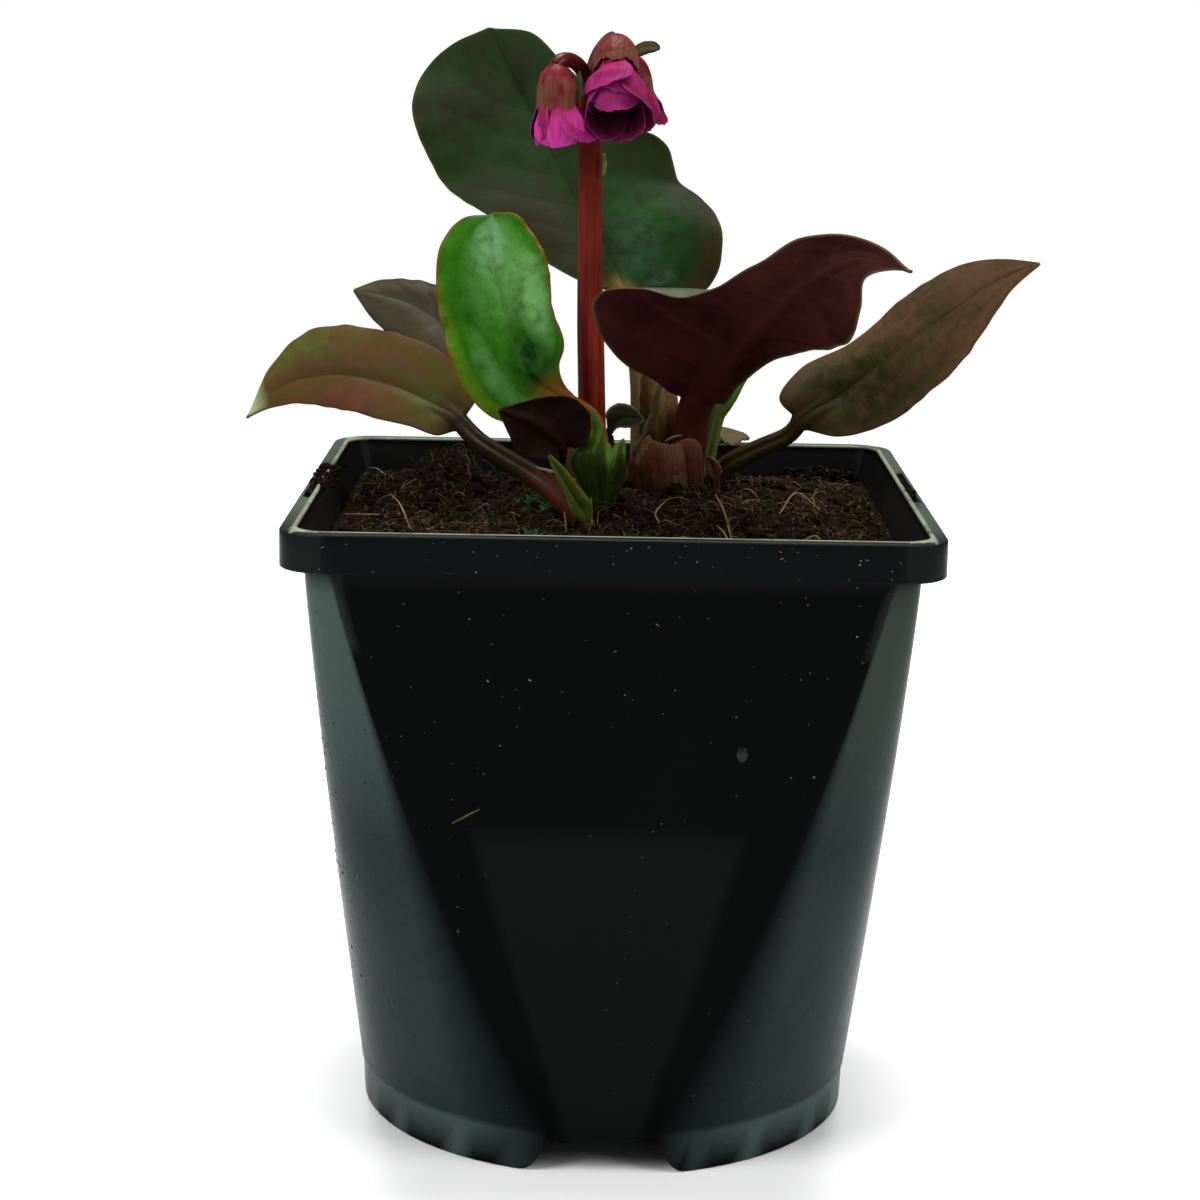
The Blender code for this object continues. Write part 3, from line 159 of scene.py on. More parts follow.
# Each leaf, in the frame's own points: its stalk, midrib and both margins from foot to tip, the stalk's
# width and thickness and how large its foot is beside them, how far the blade arches as a share of its half
# width, the height and count of its waves, the rows that the frame's leaf has, and over which share of the
# blade the stalk's colour fades.
LEAF_BASE = dict(wave=0.0, waves=1.0, stem=0.22)
LEAVES = {
    "leaf_back": dict(
        stalk=((6.5, 18.5, 99), (6.0, 18.5, 112), (5.8, 18.5, 121.5), (5.4, 19, 131), (3.8, 20, 140.5)),
        midrib=((1.5, 21, 146.5), (-2.5, 25, 155), (-9, 32, 164.5), (-16.5, 41, 178), (-22, 46, 188),
                (-25, 48, 194)),
        left=((-3.5, 18, 148), (-13.5, 20, 153), (-22, 24, 159), (-30, 28, 163.5), (-36, 33, 171),
              (-39, 38, 179.5), (-37, 43, 186), (-31.5, 46, 191)),
        right=((8, 18, 147), (15, 17, 148), (18.5, 20, 156.5), (16, 26, 163), (11, 30, 167),
               (8.5, 33, 173.5), (3.5, 34, 176), (-3.5, 37, 181), (-11.5, 42, 188.5), (-17.5, 46, 193.5)),
        width=5.0, thick=2.6, foot=1.15, arch=0.05, wave=0.5, waves=3.5, steps=15, stem=0.08,
    ),
    "leaf_green": dict(
        stalk=((-1.7, -4.4, 99), (-1.8, -4.4, 112), (-2.2, -4.6, 120), (-3.8, -5.0, 126.5)),
        midrib=((-8, -6, 129.5), (-14, -5.5, 133.5), (-19, -3, 142.5), (-22, 1, 153), (-22.6, 6, 161.6)),
        left=((-15, -8, 126.5), (-20.5, -8, 127), (-26.5, -7, 132), (-30, -5, 140), (-32, -2, 150.5),
              (-31.2, 1, 156.8), (-27.0, 4.6, 161.3)),
        right=((-9.5, -7, 131.5), (-10.5, -8, 135.5), (-9.5, -8, 139), (-11.5, -6, 146), (-12.5, -2, 154),
               (-15.3, 2, 158.6), (-18.6, 5, 161.6)),
        width=3.0, thick=2.2, foot=1.1, arch=0.03, wave=0.4, waves=3.0, steps=12,
    ),
    "leaf_left": dict(
        stalk=((-3.6, -10.8, 103), (-5.6, -10.9, 109.6), (-10.3, -8.8, 113.8), (-19.6, -1, 118.5),
               (-24.8, 4, 121)),
        midrib=((-28, 7, 123.5), (-34, 10, 127), (-41.5, 14, 129.5), (-53, 19, 130.5), (-62.5, 23, 127.5),
                (-69, 25, 121.5)),
        left=((-31.5, 5, 122.5), (-36.5, 7, 123.5), (-43, 10, 124), (-50.5, 14, 125), (-58.5, 19, 125),
              (-65, 23, 123.5)),
        right=((-26, 10, 127), (-27.5, 12, 131), (-31.5, 14, 134.5), (-37, 17, 137), (-43, 20, 138.5),
               (-51.5, 24, 139), (-59.5, 27, 136.5), (-64.5, 28, 131.5)),
        width=3.4, thick=2.8, foot=1.4, arch=0.08, wave=0.4, waves=3.0, steps=12,
    ),
    "leaf_rear_left": dict(
        stalk=((-4.5, 9.5, 100), (-4.8, 9.8, 110), (-9, 12, 118), (-13.5, 15, 123.5), (-19.5, 19, 128.5)),
        midrib=((-23.5, 22, 131.5), (-30, 27, 137.5), (-39, 33, 142.5), (-50, 37, 144.5)),
        left=((-26, 18, 130), (-32.5, 22, 133), (-40.5, 28, 136), (-47, 34, 140.5)),
        right=((-23.5, 26, 136.5), (-28.5, 31, 143), (-34, 35, 146), (-41.5, 38, 146.5), (-46, 39, 146)),
        width=3.4, thick=2.4, foot=1.3, arch=0.08, wave=0.4, waves=2.5, steps=10,
    ),
    "leaf_maroon": dict(
        stalk=((13.6, 10.4, 99), (13.8, 10.4, 110), (13.8, 9.8, 120), (14.2, 8, 125.5)),
        midrib=((15.3, 6, 129), (19.5, 0, 136.5), (25.5, -9, 145.5), (33, -19, 154), (41, -27, 158),
                (48.5, -33, 156)),
        left=((16.6, 5, 128.5), (20.1, 2, 132), (26.6, -5, 137.5), (35.6, -13, 140.5), (40, -19, 143),
              (41, -24, 148.5), (41.5, -28, 154.5), (45.5, -31, 156)),
        right=((13.5, 6, 129.5), (10.2, 2, 132), (3.0, -4, 136.5), (-2, -9, 142.5), (-3, -13, 149),
               (4, -15, 150.5), (12.5, -17, 149.5), (22.5, -22, 155), (31.5, -26, 161), (38.5, -29, 161.5),
               (44.5, -31, 159.5)),
        width=6.4, thick=3.0, foot=0.86, arch=0.05, wave=0.3, waves=3.0, steps=15,
    ),
    "leaf_right": dict(
        stalk=((15.6, 17.0, 102), (17.2, 16.8, 110), (21, 15.2, 115.2), (27.5, 12.4, 119.4),
               (32.3, 10.4, 122.2)),
        midrib=((34, 9, 124.5), (42.5, 5, 131.5), (50.5, -2, 139.5), (59, -12, 148), (65, -22, 154),
                (70, -31, 157.5)),
        left=((31, 10, 127.5), (34, 10, 133), (42.5, 6, 139), (49, 1, 146), (54, -6, 151.5),
              (59, -14, 155.5), (65.5, -24, 157.5)),
        right=((40, 5, 123.5), (48, 1, 126), (55.5, -6, 132.5), (60.5, -13, 139.5), (64, -19, 146.5),
               (67, -26, 153.5)),
        width=3.2, thick=2.6, foot=1.4, arch=0.10, wave=0.3, waves=2.5, steps=12,
    ),
    "leaf_young_maroon": dict(
        stalk=((-10, -4.2, 101), (-10, -4.2, 111), (-9.8, -5.4, 117.4)),
        midrib=((-9.2, -9.0, 121.8), (-11, -11.5, 124.4), (-14, -14, 127), (-20, -17, 129.5)),
        left=((-6.0, -10.4, 121.8), (-4.4, -10.8, 125), (-4.8, -11.2, 128.4), (-7.5, -12.2, 131),
              (-11, -13.8, 131.5), (-15, -15.4, 131)),
        right=((-11, -11.6, 120.6), (-13.5, -12.6, 120.6), (-16.8, -14.4, 122), (-18.5, -16, 125.5)),
        width=1.8, thick=1.6, foot=1.1, arch=0.10, wave=0.2, waves=2.0, steps=8,
    ),
    "leaf_young_green": dict(
        stalk=((18, 24.5, 101), (17.6, 24.5, 112), (19, 24, 121.5)),
        midrib=((19.5, 24, 123.5), (22.5, 23, 129.5), (26, 22, 136), (29.5, 20, 143.5)),
        left=((18.5, 22, 126.5), (20, 21, 131.5), (24, 19, 138.5)),
        right=((21.5, 22, 126), (24.5, 21, 131), (28, 20, 137.5)),
        width=2.8, thick=1.8, foot=1.2, arch=0.0, steps=7,
    ),
    "leaf_old": dict(
        stalk=((13, 27, 101), (13.2, 27.5, 109), (15, 31, 114), (18.5, 37, 116.0)),
        midrib=((20, 41, 116.4), (23.4, 48.6, 116.4), (26, 55, 115.6)),
        left=((18, 43, 117.2), (19.6, 49, 117.4), (23, 54, 116.6)),
        right=((22, 40, 115.8), (25, 44.5, 115.6), (27, 50, 115.5)),
        width=2.4, thick=1.8, foot=1.3, arch=0.06, wave=0.2, waves=2.0, steps=7,
    ),
    "leaf_folded": dict(
        stalk=((-0.2, -1.7, 101), (-0.2, -1.7, 112), (-0.6, -1.8, 121)),
        midrib=((-0.8, -2.2, 124), (1.4, -2.8, 126.4), (5.2, -2.2, 126.2)),
        left=((-1.2, -3.0, 127.6), (0.4, -3.2, 129.0), (3.4, -2.8, 128.4)),
        right=((0.4, -2.8, 124.9), (2.4, -3.0, 124.8), (4.2, -2.6, 125.2)),
        width=1.5, thick=1.2, foot=1.0, arch=0.05, steps=6,
    ),
    "scale_green": dict(
        stalk=((-3.8, -13.9, 101), (-3.8, -13.9, 107)),
        midrib=((-4.6, -14.0, 110), (-6.9, -14.3, 114), (-9.3, -14.6, 118), (-11.3, -15.0, 121.3)),
        left=((-6.2, -14.5, 111), (-8.5, -14.8, 114.8), (-10.4, -15.0, 118.4)),
        right=((-4.2, -14.5, 112), (-6.4, -14.8, 116.0), (-9.0, -15.0, 119.4)),
        width=2.2, thick=1.4, foot=1.0, arch=0.1, steps=6,
    ),
    "sheath_red": dict(
        stalk=((19.2, 11.4, 102), (19.2, 11.4, 108), (19.0, 11.4, 112)),
        midrib=((18.8, 11.4, 113.6), (18.2, 11.4, 115.6), (17.4, 11.5, 117.6)),
        left=((17.8, 11.0, 114.6), (17.2, 11.2, 116.0)),
        right=((19.8, 11.0, 114.8), (19.2, 11.2, 116.6)),
        width=1.8, thick=1.2, foot=1.0, arch=0.0, steps=5,
    ),
}

# How finely each leaf is meshed (rows along the blade, columns each side), and how many side veins it has.
FINE = {
    "leaf_back": (110, 34, 8),
    "leaf_green": (90, 28, 6),
    "leaf_left": (90, 24, 7),
    "leaf_rear_left": (70, 20, 6),
    "leaf_maroon": (110, 30, 8),
    "leaf_right": (100, 24, 7),
    "leaf_young_maroon": (50, 20, 4),
}
FINE_SMALL = (30, 9, 3)
FINE_BRACT = (20, 7, 2)
STALK_ROWS = 22
VEIN_SWEEP = 0.2  # how much further along the leaf a side vein is at the margin
VEIN_HALF = 0.38

# The looks of each leaf as linear colours: two shades of the upper face, a blush in streaks over part of it,
# two shades of the underside, the margin, the stalk and the veins. Each soft patch has its place across and
# along the leaf, its reach both ways, its strength and its colour; some patches are the leaf's own colour and
# some are painted highlights. A tip colour, where given, is a painted sheen on the curled tip.
LOOK_BASE = dict(cover=0.5, gloss=0.5, patches=())
LOOKS = {
    "leaf_back": dict(
        dark=(0.008, 0.011, 0.004), light=(0.010, 0.034, 0.007), blush=(0.018, 0.012, 0.007), cover=0.6,
        under=(0.030, 0.050, 0.018), under_light=(0.050, 0.060, 0.024), rim=(0.030, 0.042, 0.010),
        stalk=(0.20, 0.13, 0.042), vein=(0.018, 0.034, 0.014), gloss=0.44, shine=0.02, slot="leaf_dark",
        # The pale blue-green third patch is a painted highlight.
        patches=(
            (0.45, 0.52, 0.50, 0.20, 0.9, (0.012, 0.046, 0.010)),
            (0.35, 0.52, 0.25, 0.12, 0.6, (0.026, 0.060, 0.030)),
            (0.65, 0.50, 0.12, 0.05, 0.8, (0.050, 0.066, 0.045)),
            (0.95, 0.50, 0.18, 0.16, 0.9, (0.036, 0.022, 0.010)),
            (-0.7, 0.60, 0.45, 0.12, 0.7, (0.020, 0.012, 0.007)),
        ),
    ),
    "leaf_green": dict(
        dark=(0.004, 0.034, 0.0008), light=(0.020, 0.100, 0.004), blush=(0.036, 0.145, 0.010),
        under=(0.05, 0.12, 0.02), under_light=(0.08, 0.16, 0.03), rim=(0.14, 0.035, 0.006),
        stalk=(0.22, 0.060, 0.012), vein=(0.030, 0.12, 0.014), gloss=0.26, shine=0.04, slot="leaf_green",
        # The first three patches are painted highlights.
        patches=(
            (0.10, 0.84, 0.75, 0.18, 0.8, (0.070, 0.200, 0.040)),
            (-0.05, 0.92, 0.45, 0.10, 1.0, (0.100, 0.220, 0.095)),
            (0.62, 0.72, 0.36, 0.15, 1.0, (0.100, 0.250, 0.065)),
            (-0.55, 0.62, 0.20, 0.12, 0.7, (0.075, 0.190, 0.050)),
            (0.20, 0.57, 0.60, 0.12, 1.0, (0.001, 0.016, 0.001)),
            (-0.95, 0.62, 0.22, 0.25, 0.8, (0.080, 0.160, 0.006)),
            (0.50, 0.50, 0.40, 0.06, 0.6, (0.090, 0.130, 0.010)),
        ),
    ),
    "leaf_left": dict(
        dark=(0.040, 0.034, 0.006), light=(0.046, 0.050, 0.008), blush=(0.086, 0.028, 0.014), cover=0.95,
        under=(0.12, 0.07, 0.04), under_light=(0.16, 0.13, 0.06), rim=(0.070, 0.022, 0.014),
        # Its tip colour is a painted sheen on the curled tip.
        tip=(0.27, 0.34, 0.18), base=(0.052, 0.013, 0.008),
        stalk=(0.012, 0.005, 0.002), vein=(0.052, 0.040, 0.014), gloss=0.42, shine=0.03, slot="leaf_bronze",
        patches=(
            (0.0, 0.46, 1.2, 0.16, 0.9, (0.036, 0.050, 0.006)),
            (0.75, 0.84, 0.55, 0.14, 0.8, (0.060, 0.075, 0.014)),
            (-0.6, 0.72, 0.50, 0.10, 0.7, (0.100, 0.026, 0.018)),
        ),
    ),
    "leaf_rear_left": dict(
        dark=(0.028, 0.026, 0.011), light=(0.036, 0.040, 0.014), blush=(0.044, 0.022, 0.014), cover=0.8,
        under=(0.08, 0.06, 0.03), under_light=(0.11, 0.09, 0.04), rim=(0.040, 0.024, 0.012),
        stalk=(0.040, 0.020, 0.010), vein=(0.050, 0.052, 0.026), gloss=0.40, shine=0.045, slot="leaf_bronze",
    ),
    "leaf_maroon": dict(
        dark=(0.032, 0.052, 0.026), light=(0.075, 0.092, 0.054), blush=(0.060, 0.050, 0.030), cover=0.4,
        under=(0.019, 0.0040, 0.0045), under_light=(0.070, 0.017, 0.017), rim=(0.080, 0.062, 0.030),
        stalk=(0.060, 0.009, 0.008), vein=(0.050, 0.010, 0.011), gloss=0.42, shine=0.06, slot="leaf_maroon",
    ),
    "leaf_right": dict(
        dark=(0.024, 0.028, 0.007), light=(0.050, 0.058, 0.016), blush=(0.160, 0.072, 0.042), cover=0.9,
        under=(0.10, 0.05, 0.035), under_light=(0.13, 0.08, 0.06), rim=(0.085, 0.028, 0.020),
        stalk=(0.030, 0.018, 0.005), vein=(0.050, 0.056, 0.018), gloss=0.40, shine=0.06, slot="leaf_bronze",
        patches=(
            (0.0, 0.48, 1.2, 0.16, 0.9, (0.020, 0.030, 0.005)),
            (-0.3, 0.84, 0.8, 0.12, 0.7, (0.130, 0.062, 0.038)),
        ),
    ),
    "leaf_young_maroon": dict(
        dark=(0.020, 0.020, 0.007), light=(0.030, 0.032, 0.010), blush=(0.030, 0.010, 0.008), cover=0.8,
        under=(0.0090, 0.0040, 0.0034), under_light=(0.018, 0.0075, 0.0058), rim=(0.022, 0.007, 0.004),
        stalk=(0.030, 0.008, 0.005), vein=(0.016, 0.005, 0.004), shine=0.03, slot="leaf_maroon",
    ),
    "leaf_young_green": dict(
        dark=(0.07, 0.17, 0.018), light=(0.13, 0.27, 0.040), blush=(0.035, 0.09, 0.008),
        under=(0.07, 0.17, 0.018), under_light=(0.13, 0.27, 0.040), rim=(0.05, 0.10, 0.012),
        stalk=(0.09, 0.11, 0.02), vein=(0.06, 0.14, 0.015), gloss=0.4, shine=0.1, slot="leaf_pale",
    ),
    "leaf_old": dict(
        dark=(0.055, 0.043, 0.025), light=(0.085, 0.070, 0.042), blush=(0.045, 0.030, 0.015),
        under=(0.06, 0.05, 0.03), under_light=(0.085, 0.075, 0.05), rim=(0.04, 0.03, 0.015),
        stalk=(0.035, 0.022, 0.01), vein=(0.07, 0.055, 0.035), gloss=0.7, shine=0.05, slot="leaf_bronze",
    ),
    "leaf_folded": dict(
        dark=(0.010, 0.011, 0.004), light=(0.020, 0.022, 0.008), blush=(0.030, 0.020, 0.008),
        under=(0.010, 0.011, 0.004), under_light=(0.024, 0.022, 0.009), rim=(0.110, 0.100, 0.060),
        stalk=(0.025, 0.020, 0.008), vein=(0.015, 0.016, 0.005), shine=0.05, slot="leaf_dark",
    ),
    "scale_green": dict(
        dark=(0.024, 0.038, 0.004), light=(0.060, 0.085, 0.008), blush=(0.020, 0.022, 0.003),
        under=(0.03, 0.04, 0.006), under_light=(0.05, 0.065, 0.01), rim=(0.065, 0.10, 0.010),
        stalk=(0.040, 0.040, 0.006), vein=(0.016, 0.024, 0.003), shine=0.08, slot="leaf_pale",
    ),
    "sheath_red": dict(
        dark=(0.060, 0.012, 0.008), light=(0.090, 0.026, 0.017), blush=(0.045, 0.011, 0.006),
        under=(0.06, 0.012, 0.009), under_light=(0.09, 0.024, 0.018), rim=(0.11, 0.045, 0.035),
        stalk=(0.035, 0.012, 0.006), vein=(0.05, 0.012, 0.006), shine=0.08, slot="crown",
    ),
}

# Crown and its old leaf base.
CROWN_SIDES = 48
CROWN_LOBES = (
    ((6.3, 10.8), ((98, 2.8, 3.2), (105, 3.9, 4.3), (112, 4.1, 4.6), (116, 3.6, 4.0), (118.6, 2.0, 2.2))),
    ((9.4, 5.9), ((99, 2.8, 1.4), (105, 4.3, 2.0), (112, 4.4, 2.1), (115, 3.7, 1.8), (116.6, 1.9, 0.9))),
)
OLD_BASE = dict(
    stalk=((7.6, 12.6, 106), (8.0, 12.4, 113)),
    midrib=((8.2, 12.2, 117), (8.8, 12.4, 123), (8.9, 12.6, 129)),
    left=((6.2, 12.8, 119), (6.8, 13.0, 124), (7.8, 12.8, 128)),
    right=((10.4, 12.8, 118), (10.6, 12.8, 123), (9.8, 12.6, 128)),
    width=3.4, thick=2.0, foot=1.1, arch=-0.1, steps=6,
)

# Flower scape and the stalks of the blooms.
SCAPE_SIDES = 32
SCAPE = ((-3.6, 2.4, 98, 2.5), (-3.6, 2.4, 112, 2.5), (-4.2, 2.0, 130, 2.45), (-4.8, 1.5, 150, 2.3),
         (-5.1, 1.2, 168, 2.1), (-5.3, 1.2, 180, 1.9), (-5.4, 1.4, 186, 1.3))
BLOOM_STALKS = (
    ((-5.6, 1.2, 183, 1.4), (-6.1, 0.4, 185.8, 1.35), (-7.3, -1.2, 188.0, 1.3), (-9.2, -3.6, 189.1, 1.3),
     (-10.8, -5.4, 188.7, 1.3), (-11.4, -6.0, 188.0, 1.2)),
    ((-5.3, 1.6, 182, 1.2), (-5.2, 4.0, 187.0, 1.1), (-3.8, 5.2, 191.0, 0.95), (-2.2, 4.0, 193.0, 0.8),
     (-1.6, 2.9, 193.4, 0.7)),
    ((-5.3, 1.8, 181, 1.0), (-4.2, 5.6, 186.0, 0.9), (-2.0, 7.4, 190.4, 0.85), (-0.2, 7.4, 191.6, 0.7)),
)
STALK_TONES = ((0.040, 0.0030, 0.0022), (0.070, 0.0060, 0.0042))
SCALE_TONES = ((0.060, 0.075, 0.010), (0.150, 0.160, 0.030))
SCAPE_SCALES = (
    (0.40, ((-2.8, -0.9, 173.1), (-2.6, -1.0, 171.3), (-2.8, -0.9, 169.2))),
    (0.34, ((-7.3, -3.0, 187.2), (-7.1, -3.3, 185.9), (-6.7, -3.3, 184.6))),
)
BRACT = dict(
    stalk=((-0.8, 8.0, 190.6), (0.8, 5.6, 190.6)),
    midrib=((2.2, 4.4, 190.6), (4.4, 3.8, 191.6), (6.8, 3.4, 191.4)),
    left=((2.8, 4.2, 191.6), (4.6, 3.7, 192.4), (6.0, 3.4, 192.2)),
    right=((3.2, 4.0, 190.0), (4.8, 3.6, 190.4), (6.0, 3.4, 190.8)),
    width=0.9, thick=0.8, foot=1.0, arch=0.1, steps=5,
)
BRACT_LOOK = dict(
    dark=(0.072, 0.065, 0.032), light=(0.135, 0.120, 0.061), blush=(0.080, 0.040, 0.025), cover=0.3,
    under=(0.080, 0.072, 0.036), under_light=(0.126, 0.108, 0.061), rim=(0.010, 0.007, 0.005),
    stalk=(0.04, 0.015, 0.008), vein=(0.035, 0.03, 0.015), shine=0.06,
)

# Blooms, with the frame's axes. Each petal has its direction round the axis in degrees, its length as a
# share of the profile, its spread, how far its end flares out, how much its sides are drawn out and how far
# out it lies as a whole, in millimetres, and its painted light and shade, from dark at 0 to bright at 1.
BLOOMS = {
    "bloom_left": dict(
        top=(-11.4, -6.0, 188.2), mouth=(-10.3, -6.2, 174.4), cup=0.87, girth=0.93, sepals=18,
        petals=((-96, 0.93, 1.22, -0.1, 0.2, 0.45, 1.0), (-160, 0.90, 0.9, 0.0, 0.2, 0.0, 0.30),
                (-30, 0.90, 1.0, 1.5, 0.5, 0.0, 0.35), (45, 0.88, 1.1, 0.6, 0.4, 0.0, 0.1),
                (122, 0.88, 1.1, 0.3, 0.2, 0.0, 0.1)),
    ),
    "bloom_front": dict(
        top=(-1.0, 1.4, 192.9), mouth=(-0.8, -7.7, 180.8), cup=0.82, girth=1.04, sepals=-90,
        petals=((-122, 0.93, 1.15, 0.3, 0.3, 1.1, 0.32), (-66, 1.00, 1.3, 0.0, 0.3, 0.75, 0.20),
                (-95, 1.18, 1.35, -1.2, 0.3, 0.35, 0.42), (-8, 1.16, 1.35, 2.2, 0.3, 0.2, -0.15),
                (62, 1.24, 1.3, 0.6, 0.2, 0.0, 0.05), (128, 1.24, 1.3, 0.4, 0.2, 0.0, 0.05),
                (186, 1.02, 1.0, 0.2, 0.2, 0.2, 0.40)),
    ),
    "bloom_right": dict(
        top=(1.4, 7.2, 190.0), mouth=(3.4, 7.6, 177.2), cup=0.85, girth=0.93, sepals=40,
        petals=((-90, 0.84, 1.0, 0.4, 0.3, 0.2, 0.0), (-20, 0.86, 1.0, 0.5, 0.5, 0.1, -0.1),
                (50, 0.86, 1.0, 0.6, 0.3, 0.0, 0.15), (125, 0.85, 1.0, 0.5, 0.4, 0.1, 0.5),
                (200, 0.83, 1.0, 0.4, 0.2, 0.0, 0.1)),
    ),
}
CALYX_PROFILE = ((-0.5, 0.8), (0.0, 1.35), (0.8, 2.3), (2.2, 3.2), (4.4, 3.8), (7.0, 3.9))
CALYX_SIDES = 120
CALYX_RIM = 8.6
CALYX_EDGE = ((0.02, 0.2), (0.14, 0.0), (0.34, 0.05))  # round its edge: how far inward and above the rim
CALYX_LOBE = 0.55
CALYX_WALL = 0.5
PETAL_PROFILE = ((2.6, 0.8), (4.6, 2.2), (8.0, 3.2), (11.2, 4.2), (15.0, 4.3))
PETAL_WIDTHS = (30, 42, 50, 54, 46)
PETAL_WALL = 0.26
OPEN_FLARE, OPEN_INNER_SHADE = 1.2, 0.3  # a petal that flares more than this gets less painted shade inside
OVARY_PROFILE = ((1.7, 0.5), (2.0, 1.2), (3.4, 1.3), (5.4, 0.9), (9.0, 0.5), (11.0, 0.4))
STAMENS, STAMEN_RADIUS = 10, 0.16
STAMEN_PROFILE = ((2.6, 0.9), (6.4, 1.5), (9.6, 1.9))
ANTHER = (0.3, 0.3, 0.5)

# Sheaths rolled round a line. Each has the line's points with the half width and half depth there, the turns
# in degrees where it starts and ends, how high its crest stands from one side to the other, and its tone.
BUD_SHEATH = dict(
    line=((-2.4, -7.3, 107, 1.2, 1.0), (-2.5, -7.4, 112, 1.6, 1.3), (-3.1, -7.6, 115.6, 2.8, 1.7),
          (-3.7, -7.8, 119.4, 3.7, 1.9), (-3.2, -7.9, 122.4, 2.7, 1.6), (-2.3, -8.0, 124.8, 1.5, 1.1),
          (-2.7, -8.1, 127.0, 1.3, 0.9), (-4.0, -8.4, 129.8, 0.6, 0.4)),
    start=-262, end=68, crest=(0.62, 0.72, 0.80, 0.99, 0.93, 0.70, 0.66, 0.60, 0.52), tone=0.5,
)
BUD_FLAP = dict(
    line=((-1.6, -7.2, 110, 1.0, 0.8), (-0.8, -7.4, 114, 1.8, 1.1), (0.0, -7.6, 118, 2.0, 1.2),
          (0.4, -7.8, 121.2, 1.6, 0.9), (0.8, -7.9, 123.6, 1.1, 0.5)),
    start=-130, end=40, crest=(0.84, 0.93, 0.98, 1.0, 0.97, 0.93, 0.86), tone=0.2,
)
BUD_FOLD = (-1.18, 0.42)  # the turn and half width of its crease darkened with painted shade, in radians
HUSKS = (
    dict(line=((8.0, 7.6, 104, 5.1, 3.5), (8.2, 7.5, 112, 5.3, 3.6), (8.3, 7.5, 117, 5.0, 3.4),
               (8.4, 7.6, 121.5, 4.2, 2.6)),
         start=-190, end=10, crest=(0.86, 0.93, 0.95, 1.0, 0.98, 0.94, 0.96, 0.92, 0.86), tone=0.35),
    dict(line=((8.4, 11.6, 106, 3.0, 1.7), (8.3, 11.6, 116, 3.2, 1.6), (8.2, 11.6, 125, 3.4, 1.5),
               (8.0, 11.7, 134, 3.1, 1.1)),
         start=-185, end=5, crest=(0.88, 0.97, 0.93, 0.90, 0.94, 0.98), tone=0.9),
    dict(line=((6.0, 6.6, 106, 2.3, 1.4), (6.1, 6.3, 112, 2.3, 1.4), (6.2, 6.2, 117, 2.2, 1.4),
               (6.4, 6.2, 122.4, 1.4, 0.9)),
         start=-170, end=-10, crest=(0.8, 0.94, 1.0, 0.92, 0.82), tone=0.95),
    dict(line=((7.0, 13.2, 106, 3.6, 2.4), (7.2, 13.2, 113, 3.4, 2.2), (7.6, 13.0, 119, 2.9, 1.8),
               (8.2, 12.8, 125.4, 2.0, 1.2)),
         start=-200, end=20, crest=(0.78, 0.86, 0.94, 1.0, 0.95, 0.86, 0.9, 0.8), tone=0.55),
)
RED_SHEATH = dict(
    line=((13.0, 9.6, 104, 3.5, 2.1), (12.9, 9.4, 111, 3.7, 2.1), (12.8, 9.2, 118, 3.6, 2.0),
          (12.9, 9.2, 124, 3.2, 1.8)),
    start=-200, end=-20, crest=(0.70, 0.76, 0.80, 0.84, 0.88, 0.86, 0.8), tone=0.0,
)

# The looks of each piece of sheaths: its material's name, its colours (low, middle and high tone, torn edge
# and the painted shade inside), and between which shares of its height it fades to painted shade at its foot.
# how much darker than the low tone the dark fibre strands and the painted shade are
HUSK_STRAND_AND_SHADE = 0.12
HUSK_LOOKS = {
    "crown_husks": (
        "husk_brown",
        ((0.130, 0.028, 0.010), (0.150, 0.056, 0.018), (0.320, 0.180, 0.070), (0.14, 0.085, 0.040),
         (0.020, 0.010, 0.005)),
        (1.0, 0.48),
    ),
    "red_sheath_look": (
        "husk_red",
        ((0.130, 0.028, 0.015), (0.140, 0.034, 0.018), (0.14, 0.040, 0.020), (0.15, 0.070, 0.045),
         (0.030, 0.006, 0.004)),
        (1.0, 0.50),
    ),
    "bud_sheath_look": (
        "husk_green",
        ((0.045, 0.085, 0.006), (0.095, 0.215, 0.012), (0.15, 0.30, 0.03), (0.16, 0.17, 0.055),
         (0.020, 0.040, 0.004)),
        (0.84, 0.62),
    ),
}

# Torn edges and loose fibres of the sheaths: radius, tone from brown to cream, then points.
TORN = (
    (0.60, 0.1, ((8.4, 7, 131.4), (7.5, 7, 128.8), (7.4, 7, 126.6), (6, 6.6, 123.9), (5.3, 6, 121.8),
                 (4, 5.4, 120))),
    (0.17, 0.9, ((9.3, 4, 121.4), (10.7, 4, 122.2), (12.3, 4.4, 122.5))),
    (0.30, 0.6, ((8.4, 7, 131.2), (9.7, 7, 130.7), (11, 7, 129.8))),
    (0.28, 0.8, ((-14.9, -5, 117.8), (-12.2, -7.5, 117.6), (-9.5, -9.5, 117.2), (-6.8, -11.5, 116.5))),
)

